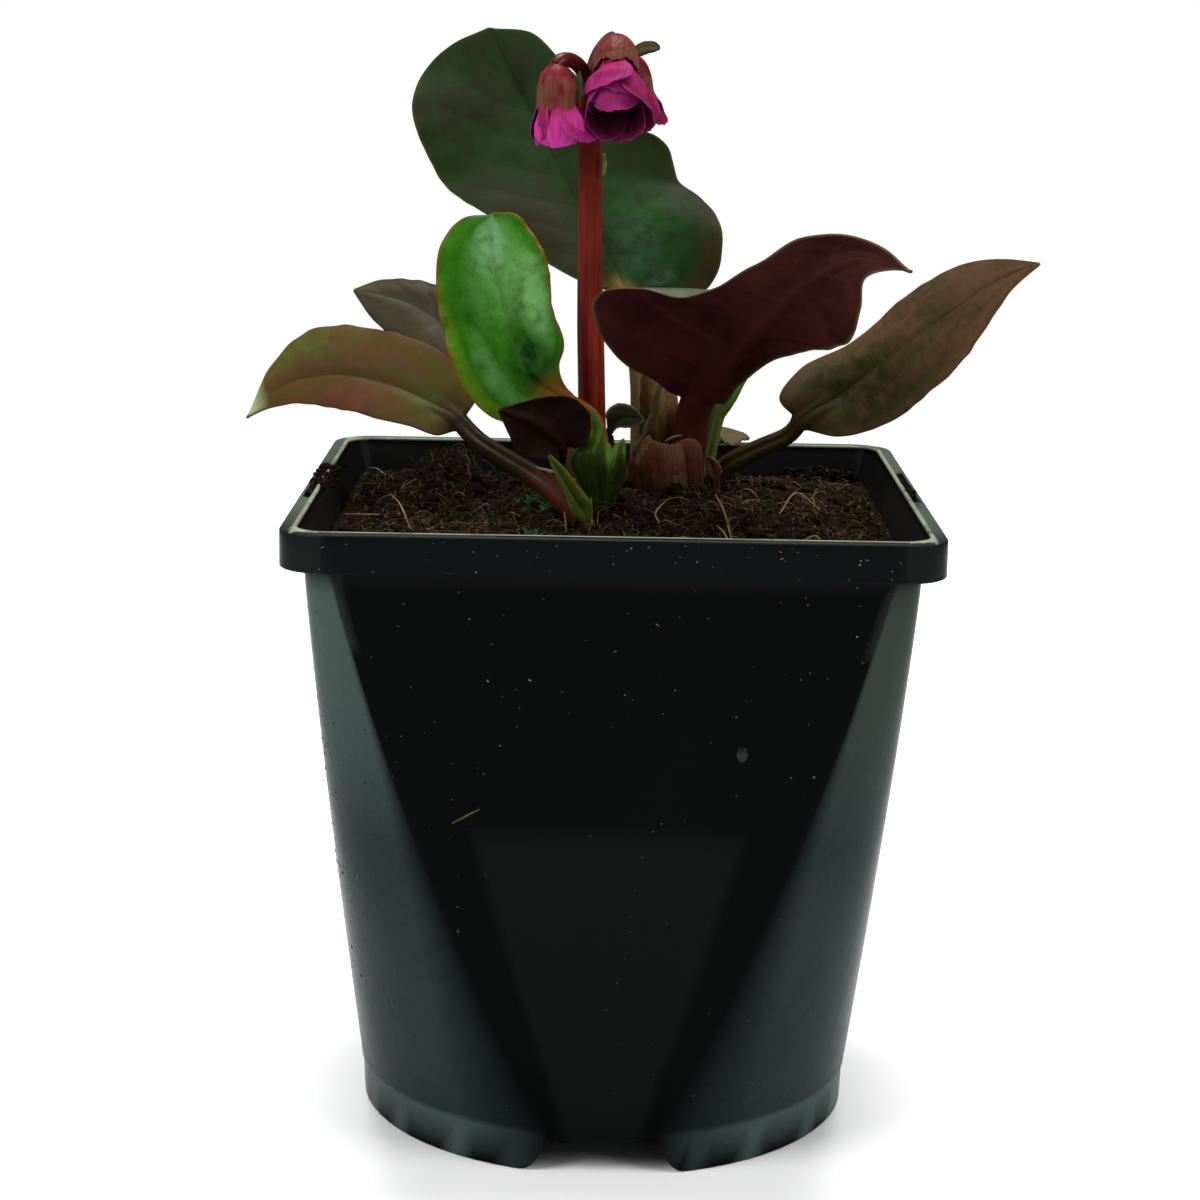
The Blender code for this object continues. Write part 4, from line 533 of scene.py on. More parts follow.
# Stage: the floor's size in millimetres, the lamps (place and size in metres, power in watts) and the place
# that they face, the light from all round, the backdrop's brightness, and the camera: its lens and sensor in
# millimetres, its place in metres, and its axes to the right, up and forward.
FLOOR_RADIUS = 800.0
FLOOR_SIDES = 96
LAMPS = (
    ("key", (-0.80, -0.55, 0.80), 0.6, 11.0),
    ("fill", (0.85, -0.45, 0.65), 0.6, 8.0),
    ("top", (0.0, 0.35, 1.7), 0.9, 44.0),
)
LAMP_AIM = (0, 0, 0.1)
WORLD_LIGHT = 0.18
BACKDROP = 1.0
LENS, SENSOR = 84.06, 36
CAMERA_PLACE = (-0.002667, -0.499309, 0.196129)
CAMERA_AXES = (
    (0.99984319, 0.00231967, 0.01755586),
    (-0.01766119, 0.20299334, 0.97902083),
    (0.00129272, 0.97917737, -0.20300248),
)


def unit(vectors):
    """Vectors scaled to length 1."""
    lengths = np.linalg.norm(vectors, axis=-1, keepdims=True)
    return vectors / np.maximum(lengths, 1e-9)


def smoothstep(x):
    """A soft step from 0 to 1."""
    x = np.clip(x, 0.0, 1.0)
    return x * x * (3 - 2 * x)


def knots_of(points):
    """Each point's share of the polyline's length."""
    gaps = np.linalg.norm(np.diff(points, axis=0), axis=1)
    return np.concatenate([[0.0], np.cumsum(gaps)]) / gaps.sum()


def curve_at(points, places):
    """Points of a smooth curve through the given points, at places from 0 to 1 along it."""
    points = np.array(points, float)
    knots = knots_of(points)
    tangents = np.gradient(points, knots, axis=0)
    found = []
    for place in places:
        i = min(int(np.searchsorted(knots, place, side="right")) - 1, len(knots) - 2)
        span = knots[i + 1] - knots[i]
        t = (place - knots[i]) / span
        found.append(
            (2 * t**3 - 3 * t**2 + 1) * points[i]
            + (t**3 - 2 * t**2 + t) * span * tangents[i]
            + (3 * t**2 - 2 * t**3) * points[i + 1]
            + (t**3 - t**2) * span * tangents[i + 1]
        )
    return np.array(found)


def spline(points, count):
    """Evenly spread points, count in all, of a smooth curve through the given points."""
    return curve_at(points, np.linspace(0, 1, count))


def stacked(*parts):
    """Points from their coordinates, which are numbers or arrays that fit together."""
    return np.stack(np.broadcast_arrays(*parts), axis=-1)


def rumple(points, size, shift=0.0):
    """Smooth noise from -1 to 1 at every point of an array, for lumps of the given size."""
    flat = np.asarray(points, float).reshape(-1, 3) / size + shift
    values = np.array([noise.noise(Vector(p)) for p in flat])
    return values.reshape(np.asarray(points).shape[:-1])


def turns_round(count):
    """Angles once round a circle, count in all."""
    return np.arange(count) * math.tau / count


def grid_normals(grid):
    """Upward normals of a grid whose rows run from base to tip and columns from left to right."""
    return unit(np.cross(np.gradient(grid, axis=1), np.gradient(grid, axis=0)))


def sheet_solid(grid, above, below):
    """Points and faces of a closed sheet: the grid thickened by above and below along its normals."""
    normals = grid_normals(grid)
    rows, columns = grid.shape[:2]
    points = np.concatenate([
        (grid + normals * above[..., None]).reshape(-1, 3),
        (grid - normals * below[..., None]).reshape(-1, 3),
    ])
    under = rows * columns
    faces = []
    for i in range(rows - 1):
        for j in range(columns - 1):
            a = i * columns + j
            b, c, d = a + 1, a + columns + 1, a + columns
            faces += [(a, b, c, d), (under + a, under + d, under + c, under + b)]
        left, right = i * columns, i * columns + columns - 1
        faces.append((left, left + columns, under + left + columns, under + left))
        faces.append((right + columns, right, under + right, under + right + columns))
    last = (rows - 1) * columns
    for j in range(columns - 1):
        faces.append((j, under + j, under + j + 1, j + 1))
        faces.append((last + j + 1, under + last + j + 1, under + last + j, last + j))
    return points, faces


def on_both_faces(masks, name, front, back):
    """The masks of a grid for the points of its sheet_solid, and one more that tells its faces apart."""
    doubled = {mask: np.concatenate([values.ravel()] * 2) for mask, values in masks.items()}
    count = next(iter(masks.values())).size
    doubled[name] = np.repeat([front, back], count)
    return doubled


def loft(rings):
    """Points and faces of rings of points joined in order, with a cap at each end."""
    count = len(rings[0])
    faces = []
    for i in range(len(rings) - 1):
        for j in range(count):
            k = (j + 1) % count
            a, b = i * count + j, i * count + k
            faces.append((a, b, b + count, a + count))
    faces.append(tuple(reversed(range(count))))
    last = (len(rings) - 1) * count
    faces.append(tuple(range(last, last + count)))
    return np.concatenate(rings), faces


def prism(outline, levels, upright=True):
    """Points and faces of an outline lofted along z, or along y where it stands on its side."""
    order = [0, 1, 2] if upright else [0, 2, 1]
    return loft([np.array([(*point, level) for point in outline])[:, order] for level in levels])


def sides_of(centres, side):
    """A unit vector across a line at each centre, turned as little as possible from side."""
    along = unit(np.gradient(centres, axis=0))
    return unit(side[None, :] - along * (along @ side)[:, None])


def tube(points, sides):
    """Points and faces of a closed tube. Each point is x, y, z and radius."""
    points = np.array(points, float)
    centres, radii = points[:, :3], points[:, 3]
    along = unit(np.gradient(centres, axis=0))
    lead = np.array([1.0, 0.0, 0.0]) if abs(along[0][0]) < 0.9 else np.array([0.0, 1.0, 0.0])
    across = sides_of(centres, lead)
    over = np.cross(along, across)
    turns = turns_round(sides)
    return loft([
        centre + radius * (np.cos(turns)[:, None] * a + np.sin(turns)[:, None] * o)
        for centre, radius, a, o in zip(centres, radii, across, over)
    ])


def strand(points, radius, rings=9, sides=5):
    """A thin tapering fibre through points."""
    taper = radius * (0.45 + 0.55 * np.sin(np.linspace(0.25, math.pi - 0.2, rings)))
    return tube(np.column_stack([spline(points, rings), taper]), sides)


def merged(shapes):
    """One shape from several: points, faces and the masks that the first of them has."""
    faces, start = [], 0
    for points, some, *_ in shapes:
        faces += [tuple(start + i for i in face) for face in some]
        start += len(points)
    names = [name for masks in shapes[0][2:] for name in masks]
    masks = {name: np.concatenate([shape[2][name] for shape in shapes]) for name in names}
    return np.concatenate([shape[0] for shape in shapes]), faces, masks


def set_masks(mesh, masks):
    """Stores a named value per point for each mask."""
    for mask, values in masks.items():
        layer = mesh.attributes.new(mask, "FLOAT", "POINT")
        layer.data.foreach_set("value", np.asarray(values, np.float32).ravel())


def mesh_object(name, points, faces, masks=None, crease=50):
    """An object from points in millimetres, with a named value per point for each mask."""
    mesh = bpy.data.meshes.new(name)
    mesh.from_pydata((np.asarray(points) * MM).tolist(), [], faces)
    mesh.update()
    set_masks(mesh, masks or {})
    mesh.shade_smooth()
    mesh.set_sharp_from_angle(angle=math.radians(crease))
    made = bpy.data.objects.new(name, mesh)
    bpy.context.scene.collection.objects.link(made)
    return made


def face_out(piece):
    """Turns every face of a closed piece to point out."""
    mesh = bmesh.new()
    mesh.from_mesh(piece.data)
    bmesh.ops.recalc_face_normals(mesh, faces=mesh.faces)
    mesh.to_mesh(piece.data)
    mesh.free()
    return piece


def settle(piece, finish, slot, *nodes):
    """Gives a piece its material and lets it ride on the root in place of the named nodes; slot is not used.
    """
    piece.data.materials.clear()
    piece.data.materials.append(finish)
    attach(piece, "root")
    if nodes:
        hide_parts(*nodes)


def add_piece(name, shape, finish, slot, *nodes, out=True, crease=50):
    """A piece from its points, faces and masks. Where out is true, its faces are turned to point out."""
    piece = mesh_object(name, *shape, crease=crease)
    settle(face_out(piece) if out else piece, finish, slot, *nodes)


class Level:
    """A number that varies over a surface. Arithmetic on it adds nodes to its paint."""

    def __init__(self, paint, socket):
        self.paint, self.socket = paint, socket

    def __add__(self, other):
        return self.paint.maths("ADD", self, other)

    def __sub__(self, other):
        return self.paint.maths("SUBTRACT", self, other)

    def __mul__(self, other):
        return self.paint.maths("MULTIPLY", self, other)

    def __truediv__(self, other):
        return self.paint.maths("DIVIDE", self, other)

    def __abs__(self):
        return self.paint.maths("ABSOLUTE", self)

    def at_least(self, other):
        """The larger of two numbers."""
        return self.paint.maths("MAXIMUM", self, other)

    def at_most(self, other):
        """The smaller of two numbers."""
        return self.paint.maths("MINIMUM", self, other)

    def between(self, low, high, start=0.0, end=1.0):
        """Maps low to high onto start to end, without going past either."""
        inputs = dict(enumerate((self, low, high, start, end)))
        return Level(self.paint, self.paint.node("MapRange", inputs))


class Paint:
    """Builds one procedural material. Most methods add a node and return its output."""

    def __init__(self, name, shine, rough=0.5):
        self.material = bpy.data.materials.new(name)
        self.material.use_nodes = True
        self.tree = self.material.node_tree
        self.shader = self.tree.nodes["Principled BSDF"].inputs
        self.shader["Specular IOR Level"].default_value = shine
        self.shader["Roughness"].default_value = rough
        self.place = self.tree.nodes.new("ShaderNodeTexCoord").outputs["Object"]
        self.base = None

    def put(self, socket, value):
        """Links an output to a socket, or sets its number or colour."""
        if isinstance(value, Level):
            value = value.socket
        if isinstance(value, bpy.types.NodeSocket):
            self.tree.links.new(value, socket)
        elif socket.type == "RGBA":
            socket.default_value = (*value, 1.0)
        else:
            socket.default_value = value

    def node(self, kind, inputs, output=0, **settings):
        """Adds a node with its settings and inputs, and gives one of its outputs."""
        made = self.tree.nodes.new(f"ShaderNode{kind}")
        for setting, value in settings.items():
            setattr(made, setting, value)
        for socket, value in inputs.items():
            self.put(made.inputs[socket], value)
        return made.outputs[output]

    def maths(self, operation, *numbers):
        """Arithmetic on one or two numbers."""
        return Level(self, self.node("Math", dict(enumerate(numbers)), operation=operation))

    def mask(self, name):
        """The mesh's value of that name."""
        return Level(self, self.node("Attribute", {}, "Fac", attribute_name=name))

    def axes(self):
        """How far to the right, back and up, in metres."""
        return [Level(self, self.node("SeparateXYZ", {0: self.place}, axis)) for axis in range(3)]

    def vector(self, x, y, z=0.0):
        """A vector from three numbers."""
        return self.node("CombineXYZ", {0: x, 1: y, 2: z})

    def scaled(self, x, y, z):
        """The place on the object, stretched along each axis."""
        return self.node("Mapping", {"Vector": self.place, "Scale": (x, y, z)})

    def noise(self, size, detail=3.0, low=0.3, high=0.7, place=None, rough=0.55):
        """Noise of that size in millimetres, stretched so that low to high becomes 0 to 1."""
        scale = (1.0 if place else 1 / MM) / size
        inputs = {"Vector": place or self.place, "Scale": scale, "Detail": detail, "Roughness": rough}
        return Level(self, self.node("TexNoise", inputs)).between(low, high)

    def cells(self, size, feature="F1"):
        """Distances in a cell pattern of that size in millimetres."""
        inputs = {"Vector": self.place, "Scale": 1 / MM / size}
        return Level(self, self.node("TexVoronoi", inputs, "Distance", feature=feature))

    def mix(self, share, first, second, how="MIX"):
        """A blend of two colours."""
        return self.node("Mix", {0: share, 6: first, 7: second}, 2, data_type="RGBA", blend_type=how)

    def coat(self, share, colour):
        """Lays a colour over the base colour."""
        self.base = self.mix(share, self.base, colour)

    def bump(self, height, depth, **before):
        """Relief of that depth in millimetres, over any relief named as Normal."""
        return self.node("Bump", {"Distance": depth * MM, "Height": height, **before})

    def done(self, **sockets):
        """Feeds the base colour and the named sockets to the shader, and gives the material."""
        self.put(self.shader["Base Color"], self.base)
        for socket, value in sockets.items():
            self.put(self.shader[socket], value)
        return self.material


def two_tone(name, dark, light, size, detail=3.0, shine=0.1, rough=0.5):
    """A material of two colours blended by noise."""
    paint = Paint(name, shine, rough)
    paint.base = paint.mix(paint.noise(size, detail), dark, light)
    return paint.done()


def leaf_lines(leaf, axis, join, places):
    """Points of the midrib, the ways from them to both margins, the side of the foot, and the ways up."""
    first, last = leaf["midrib"][0], leaf["midrib"][-1]
    edges = [(first,) + leaf[side] + (last,) for side in ("left", "right")]

    def margins(places):
        centre = curve_at(axis, join + (1 - join) * places)
        return centre, *[curve_at(edge, places) - centre for edge in edges]

    middle, left, right = margins(places)
    _, near_left, near_right = margins(np.array([2 / (leaf["steps"] - 1)]))
    side = unit(near_right[0] - near_left[0])
    seam = (leaf["width"] / 2 * (1 - places) ** 3 + TIP_HALF * places**4)[:, None] * side
    left, right = left - seam, right + seam
    up = unit(np.cross(unit(right - left), unit(np.gradient(middle, axis=0))))
    return middle, left, right, side, up


def leaf_stalk(leaf, axis, join, after, side, columns):
    """The stalk's places along the leaf, its middle surface, and its thickness above and below."""
    places = np.linspace(0, join, STALK_ROWS + 1)[:-1]
    centres = curve_at(axis, places)
    sides = sides_of(np.concatenate([centres, after]), side)[:-1]
    grow = (leaf["foot"] + (1 - leaf["foot"]) * smoothstep(places / join))[:, None]
    reach = columns[None, :] * leaf["width"] / 2 * grow
    depth = np.maximum(np.sqrt(1 - columns**2)[None, :] * leaf["thick"] / 2 * grow, EDGE_STALK / 2)
    groove = GROOVE * np.exp(-((columns / 0.3) ** 2))[None, :]
    groove = groove * smoothstep(places / join * 2)[:, None]
    return places, centres[:, None, :] + sides[:, None, :] * reach[..., None], depth * (1 - groove), depth


def leaf_sheet(leaf, rows, spread, veins):
    """A leaf's middle surface, its thickness above and below, and the masks that its colours follow."""
    leaf = LEAF_BASE | leaf
    axis = np.array(leaf["stalk"] + leaf["midrib"], float)
    join = knots_of(axis)[len(leaf["stalk"])]
    half = leaf["width"] / 2
    u = np.linspace(0, 1, rows)
    middle, left, right, side, up = leaf_lines(leaf, axis, join, u)
    up = up[:, None, :]

    s = np.linspace(-1, 1, 2 * spread + 1)
    round_columns = np.sin(math.pi / 2 * s)
    blend = smoothstep(u / 0.25)[:, None]
    columns = round_columns * (1 - blend) + (0.7 * s + 0.3 * round_columns) * blend
    share = np.abs(columns)
    outer = columns < 0
    edge = np.where(outer[..., None], left[:, None, :], right[:, None, :])
    width = np.linalg.norm(edge, axis=-1)
    reach = share * width
    row = np.broadcast_to(u[:, None], share.shape)
    swell = np.sin(math.pi * row)

    waves = np.sin(2 * math.pi * leaf["waves"] * row + np.where(outer, 0.0, 1.7))
    ripple = leaf["wave"] * waves * share**2 * swell
    bulge = leaf["arch"] * width * 4 * share * (1 - share)
    nicks = np.stack([row * NICKS, np.where(outer, 3.0, 9.0), width * 0], axis=-1)
    edge = edge * (1 + NICK_DEPTH * rumple(nicks, 1.0) * swell)[..., None]
    blade = middle[:, None, :] + edge * share[..., None] + up * (bulge + ripple)[..., None]
    frill = FRILL * share**6 * np.sin(2 * math.pi * FRILLS * row + 5 * rumple(nicks, 9.0)) * swell
    buckle = BUCKLE * rumple(blade, BUCKLE_SIZE) * swell * np.minimum(width / 10, 1)

    side_vein = (row - VEIN_SWEEP * share**1.4 + np.where(outer, 0.5, 0.0) / veins) * veins
    off = np.abs(side_vein - np.round(side_vein))
    pitch = np.linalg.norm(middle[-1] - middle[0]) / veins
    strong = np.clip(1.25 - share, 0, 1) * smoothstep(row / 0.1) * smoothstep((1 - row) / 0.15)
    lateral = np.exp(-((off * pitch / VEIN_HALF) ** 2)) * strong
    rib_half = half * (1 - row) ** 0.6 + 0.3
    main = np.exp(-((reach / (0.35 * rib_half + 0.12)) ** 2)) * smoothstep((1 - row) / 0.25)
    pillow = PILLOW * (off * 2) ** 0.7 * strong * smoothstep(reach / 2) * np.minimum(width / 8, 1)
    blade = blade + up * (frill + buckle + pillow)[..., None]

    rib = np.sqrt(np.clip(1 - (reach / rib_half) ** 2, 0, 1)) * (leaf["thick"] - BLADE) / 2
    thin = np.where(share > 0.985, EDGE_THIN, (0.62 - 0.30 * share**2) / 2)
    below = thin + rib * (1 - row) ** 0.8 + 0.10 * lateral
    sunk = (0.05 * lateral + 0.10 * main) * smoothstep(row / 0.1) * np.minimum(thin / 0.3, 1)
    above = np.maximum(thin + rib * (1 - smoothstep(row / 0.2)) - sunk, 0.06)

    places, stalk, stalk_above, stalk_below = leaf_stalk(leaf, axis, join, middle[:1], side, round_columns)
    place = np.concatenate([places, join + (1 - join) * u])
    stem = (1 - smoothstep(row / leaf["stem"])) * (1 - 0.6 * smoothstep((reach - half) / 3))

    def both(on_stalk, on_blade):
        return np.concatenate([np.broadcast_to(on_stalk, stalk.shape[:2]), on_blade])

    masks = {
        "vein": both(0.0, np.maximum(lateral * 0.8, main)),
        "rim": both(0.0, np.exp(-(((1 - share) * width / 0.34) ** 2)) * smoothstep(row / 0.12)),
        "stem": both(1.0, stem),
        "along": np.repeat(place[:, None], len(s), axis=1),
        "side": both(round_columns, columns),
    }
    return np.concatenate([stalk, blade]), both(stalk_above, above), both(stalk_below, below), masks


def leaf_shape(leaf, fine):
    """Points, faces and masks of a whole leaf."""
    grid, above, below, masks = leaf_sheet(leaf, *fine)
    return *sheet_solid(grid, above, below), on_both_faces(masks, "under", 0.0, 1.0)


def leaf_finish(name, look):
    """Waxy leaf: two shades in patches, a blush in streaks along it, veins, margin, underside and stalk.

    Soft patches add own colour and painted highlights, and a tip colour adds a painted sheen.
    """
    look = LOOK_BASE | look
    paint = Paint(name, look["shine"])
    side, along, vein = paint.mask("side"), paint.mask("along"), paint.mask("vein")
    mottle = paint.noise(3.0, 4.0, 0.30, 0.75)
    streaks = paint.noise(1.0, 5.0, 0.36, 0.64, paint.vector(side * 3.2, along * 6.0), 0.66)
    streaks = streaks * 0.6 + paint.noise(1.6, 5.0, 0.34, 0.66, rough=0.7) * 0.4
    shade = paint.noise(15, 4.0, 0.36, 0.62) * 0.65 + mottle * 0.35
    soft = paint.noise(2.6, 4.0, 0.25, 0.60, rough=0.6)

    top = paint.mix(shade, look["dark"], look["light"])
    top = paint.mix(streaks * look["cover"], top, look["blush"])
    top = paint.mix(vein * 0.35, top, look["vein"])
    below = paint.mix(shade * 0.8, look["under"], look["under_light"])
    below = paint.mix(vein * 0.6, below, look["under_light"])
    # Soft patches: some of the leaf's own colour, some painted highlights.
    for patch_side, patch_along, wide, long, strength, colour in look["patches"]:
        across, onward = (side - patch_side) / wide, (along - patch_along) / long
        near = (across * across + onward * onward).between(1.0, 0.15, 0.0, strength)
        top = paint.mix(near * soft, top, colour)
    # A painted sheen on the curled tip, where the look gives one.
    if "tip" in look:
        top = paint.mix(along.between(0.93, 0.985), top, look["tip"])
    paint.base = paint.mix(paint.mask("under"), top, below)
    paint.coat(paint.mask("rim"), look["rim"])
    stalk = paint.mix(streaks * 0.12, look["stalk"], look["light"])
    if "base" in look:
        stalk = paint.mix(along.between(0.24, 0.14), stalk, look["base"])
    paint.coat(paint.mask("stem"), stalk)
    grain = paint.mix(paint.noise(0.5, 2.0, 0.2, 0.8), (0.55, 0.55, 0.55), (1.0, 1.0, 1.0))
    paint.base = paint.mix(0.35, paint.base, grain, "MULTIPLY")
    net = paint.bump(paint.cells(1.7, "DISTANCE_TO_EDGE").at_most(0.25), 0.02)
    return paint.done(
        Roughness=mottle.between(0.0, 1.0, look["gloss"] - 0.05, look["gloss"] + 0.12),
        Normal=paint.bump(paint.noise(0.7, 2.0, 0.0, 1.0), 0.02, Normal=net),
    )


def make_leaves():
    """Every leaf and free-standing scale."""
    for name, leaf in LEAVES.items():
        shape = leaf_shape(leaf, FINE.get(name, FINE_SMALL))
        finish = leaf_finish(name, LOOKS[name])
        add_piece(f"{name}_look", shape, finish, LOOKS[name]["slot"], name, out=False)


def rounded_square(half, flat, z):
    """A ring of points, anticlockwise: a square with straight sides of 2 * flat and round corners."""
    flat = max(flat, LEAST_FLAT)
    centres = ((1, 1), (-1, 1), (-1, -1), (1, -1))
    ring = []
    for corner, (cx, cy) in enumerate(centres):
        for step in range(CORNER_STEPS + 1):
            turn = (corner + step / CORNER_STEPS) * math.pi / 2
            x = cx * flat + (half - flat) * math.cos(turn)
            y = cy * flat + (half - flat) * math.sin(turn)
            ring.append((x, y, z))
        nx, ny = centres[(corner + 1) % 4]
        out = (corner + 1) * math.pi / 2
        for stop in FLAT_STOPS:
            x = (cx + (nx - cx) * stop) * flat + (half - flat) * math.cos(out)
            y = (cy + (ny - cy) * stop) * flat + (half - flat) * math.sin(out)
            ring.append((x, y, z))
    return np.array(ring)


def body_section(z, inset=0.0):
    """Half width and half flat of the pot's wall at height z, taken in by inset."""
    down = (BAND_FOOT - z) / (BAND_FOOT - STEP_HEIGHT)
    down = min(max(down, 0.0), 1.0)
    half = BODY_TOP_HALF + (BODY_FOOT_HALF - BODY_TOP_HALF) * down
    flat = BODY_TOP_FLAT * (1 - down**FLAT_FALL)
    return half - inset, min(flat, half - inset - 1.0)


def pot_sections():
    """The pot's sections in order, from under the floor round the outside to the top of the floor."""
    skirt_in = RIM_HALF - SKIRT_THICK
    under = POT_HEIGHT - RIM_TOP_THICK
    levels = [(k / WALL_LEVELS) ** 1.3 for k in range(WALL_LEVELS + 1)]
    heights = [STEP_HEIGHT + (BAND_FOOT - STEP_HEIGHT) * level for level in levels]
    sections = [
        (FOOT_HALF - FOOT_RING + 0.6, 0, FLOOR_UNDER),
        (FOOT_HALF - FOOT_RING, 0, 0.3),
        (FOOT_HALF - FOOT_RING + 0.3, 0, 0),
        (FOOT_HALF - 0.3, 0, 0),
        (FOOT_HALF, 0, 0.35),
        (BODY_FOOT_HALF - STEP_INSET - 0.05, 0, STEP_HEIGHT - 0.7),
        (BODY_FOOT_HALF - STEP_INSET, 0, STEP_HEIGHT - 0.35),
        (BODY_FOOT_HALF - 0.1, 0, STEP_HEIGHT - 0.2),
    ]
    sections += [(*body_section(z), z) for z in heights]
    sections += [
        (LIP_HALF + LIP_THICK - 0.3, RIM_FLAT - 0.5, under - 0.9),
        (LIP_HALF + LIP_THICK, RIM_FLAT - 0.4, under),
        (skirt_in, RIM_FLAT, under),
        (skirt_in, RIM_FLAT, BAND_FOOT + 0.15),
        (skirt_in + 0.15, RIM_FLAT, BAND_FOOT),
        (RIM_HALF - 0.2, RIM_FLAT, BAND_FOOT),
        (RIM_HALF, RIM_FLAT, BAND_FOOT + 0.2),
        (RIM_HALF, RIM_FLAT, POT_HEIGHT - 2.5),
    ]
    for turn in (math.pi / 2 * step / 4 for step in range(5)):
        half = RIM_HALF - RIM_ROUND + RIM_ROUND * math.cos(turn)
        sections.append((half, RIM_FLAT, POT_HEIGHT - RIM_ROUND + RIM_ROUND * math.sin(turn)))
    sections.append((RIM_HALF - 1.5, RIM_FLAT - 0.2, POT_HEIGHT - 0.12))
    sections += [(LIP_HALF + out, RIM_FLAT - less, POT_HEIGHT - fall) for out, less, fall in LIP_STEPS]
    sections += [(*body_section(z, WALL), z) for z in reversed(heights[1:])]
    sections.append((*body_section(FLOOR_TOP, WALL), FLOOR_TOP))
    return sections


def block(low, high):
    """Points and faces of a box from its low to its high corner."""
    outline = ((low[0], low[1]), (high[0], low[1]), (high[0], high[1]), (low[0], high[1]))
    return prism(outline, (low[2], high[2]))


def pot_cutters():
    """Slots in the rim's top, drainage holes in the floor and the two notches in the foot."""
    shapes = []
    low = LIP_HALF + LIP_THICK + SLOT_MARGIN
    high = RIM_HALF - SKIRT_THICK - SLOT_MARGIN
    reach = SLOT_LENGTH / 2
    z0, z1 = POT_HEIGHT - 3, POT_HEIGHT + 1
    for sign in (-1, 1):
        near, far = sorted((sign * low, sign * high))
        shapes.append(block((near, -reach, z0), (far, reach, z1)))
        shapes.append(block((-reach, near, z0), (reach, far, z1)))
    for k in range(DRAIN_COUNT + 1):
        turn = 2 * math.pi * k / DRAIN_COUNT
        out = DRAIN_CIRCLE if k < DRAIN_COUNT else 0.0
        x, y = out * math.cos(turn), out * math.sin(turn)
        ends = [(x, y, z, DRAIN_RADIUS) for z in (FLOOR_UNDER - 1, FLOOR_TOP + 1)]
        shapes.append(tube(ends, DRAIN_SIDES))
    outline = list(NOTCH_OUTLINE) + [(-x, z) for x, z in reversed(NOTCH_OUTLINE)]
    for sign in (-1, 1):
        ends = sorted((sign * (FOOT_HALF + 3), sign * (FOOT_HALF - 8)))
        shapes.append(prism(outline, ends, upright=False))
    return [face_out(mesh_object(f"cutter_{k}", *shape)) for k, shape in enumerate(shapes)]


def cut(target, cutters):
    """Cuts every cutter out of target, then removes the cutters."""
    helpers = bpy.data.collections.new("cutters")
    bpy.context.scene.collection.children.link(helpers)
    for cutter in cutters:
        bpy.context.scene.collection.objects.unlink(cutter)
        helpers.objects.link(cutter)
    modifier = target.modifiers.new("cut", "BOOLEAN")
    modifier.operand_type = "COLLECTION"
    modifier.collection = helpers
    modifier.operation = "DIFFERENCE"
    modifier.solver = "EXACT"
    bpy.context.view_layer.update()
    graph = bpy.context.evaluated_depsgraph_get()
    target.data = bpy.data.meshes.new_from_object(target.evaluated_get(graph))
    target.modifiers.clear()
    for cutter in cutters:
        bpy.data.objects.remove(cutter)
    bpy.data.collections.remove(helpers)


# How the painted reflection of the lamps lies round a corner, as shares of its quarter turn from the front
# or back face: where it starts at the foot and how much sooner at the height given first below, half the
# width of its soft border at the foot and what that loses by that height, and where its brighter edge lies.
REFLECTION_LEVEL = 0.083
REFLECTION_START, REFLECTION_SOONER, REFLECTION_LEAST = 0.256, 0.178, 0.022
REFLECTION_SOFT, REFLECTION_SHARPER, REFLECTION_SHARPEST = 0.133, 0.10, 0.033
EDGE_START, EDGE_FULL = 0.69, 1.05
# how much of the painted reflection of the lamps lies on the rim band
RIM_REFLECTION = 0.05
SIDE_FADE = 18.0  # how far the painted reflection runs on along the left and right faces, in millimetres


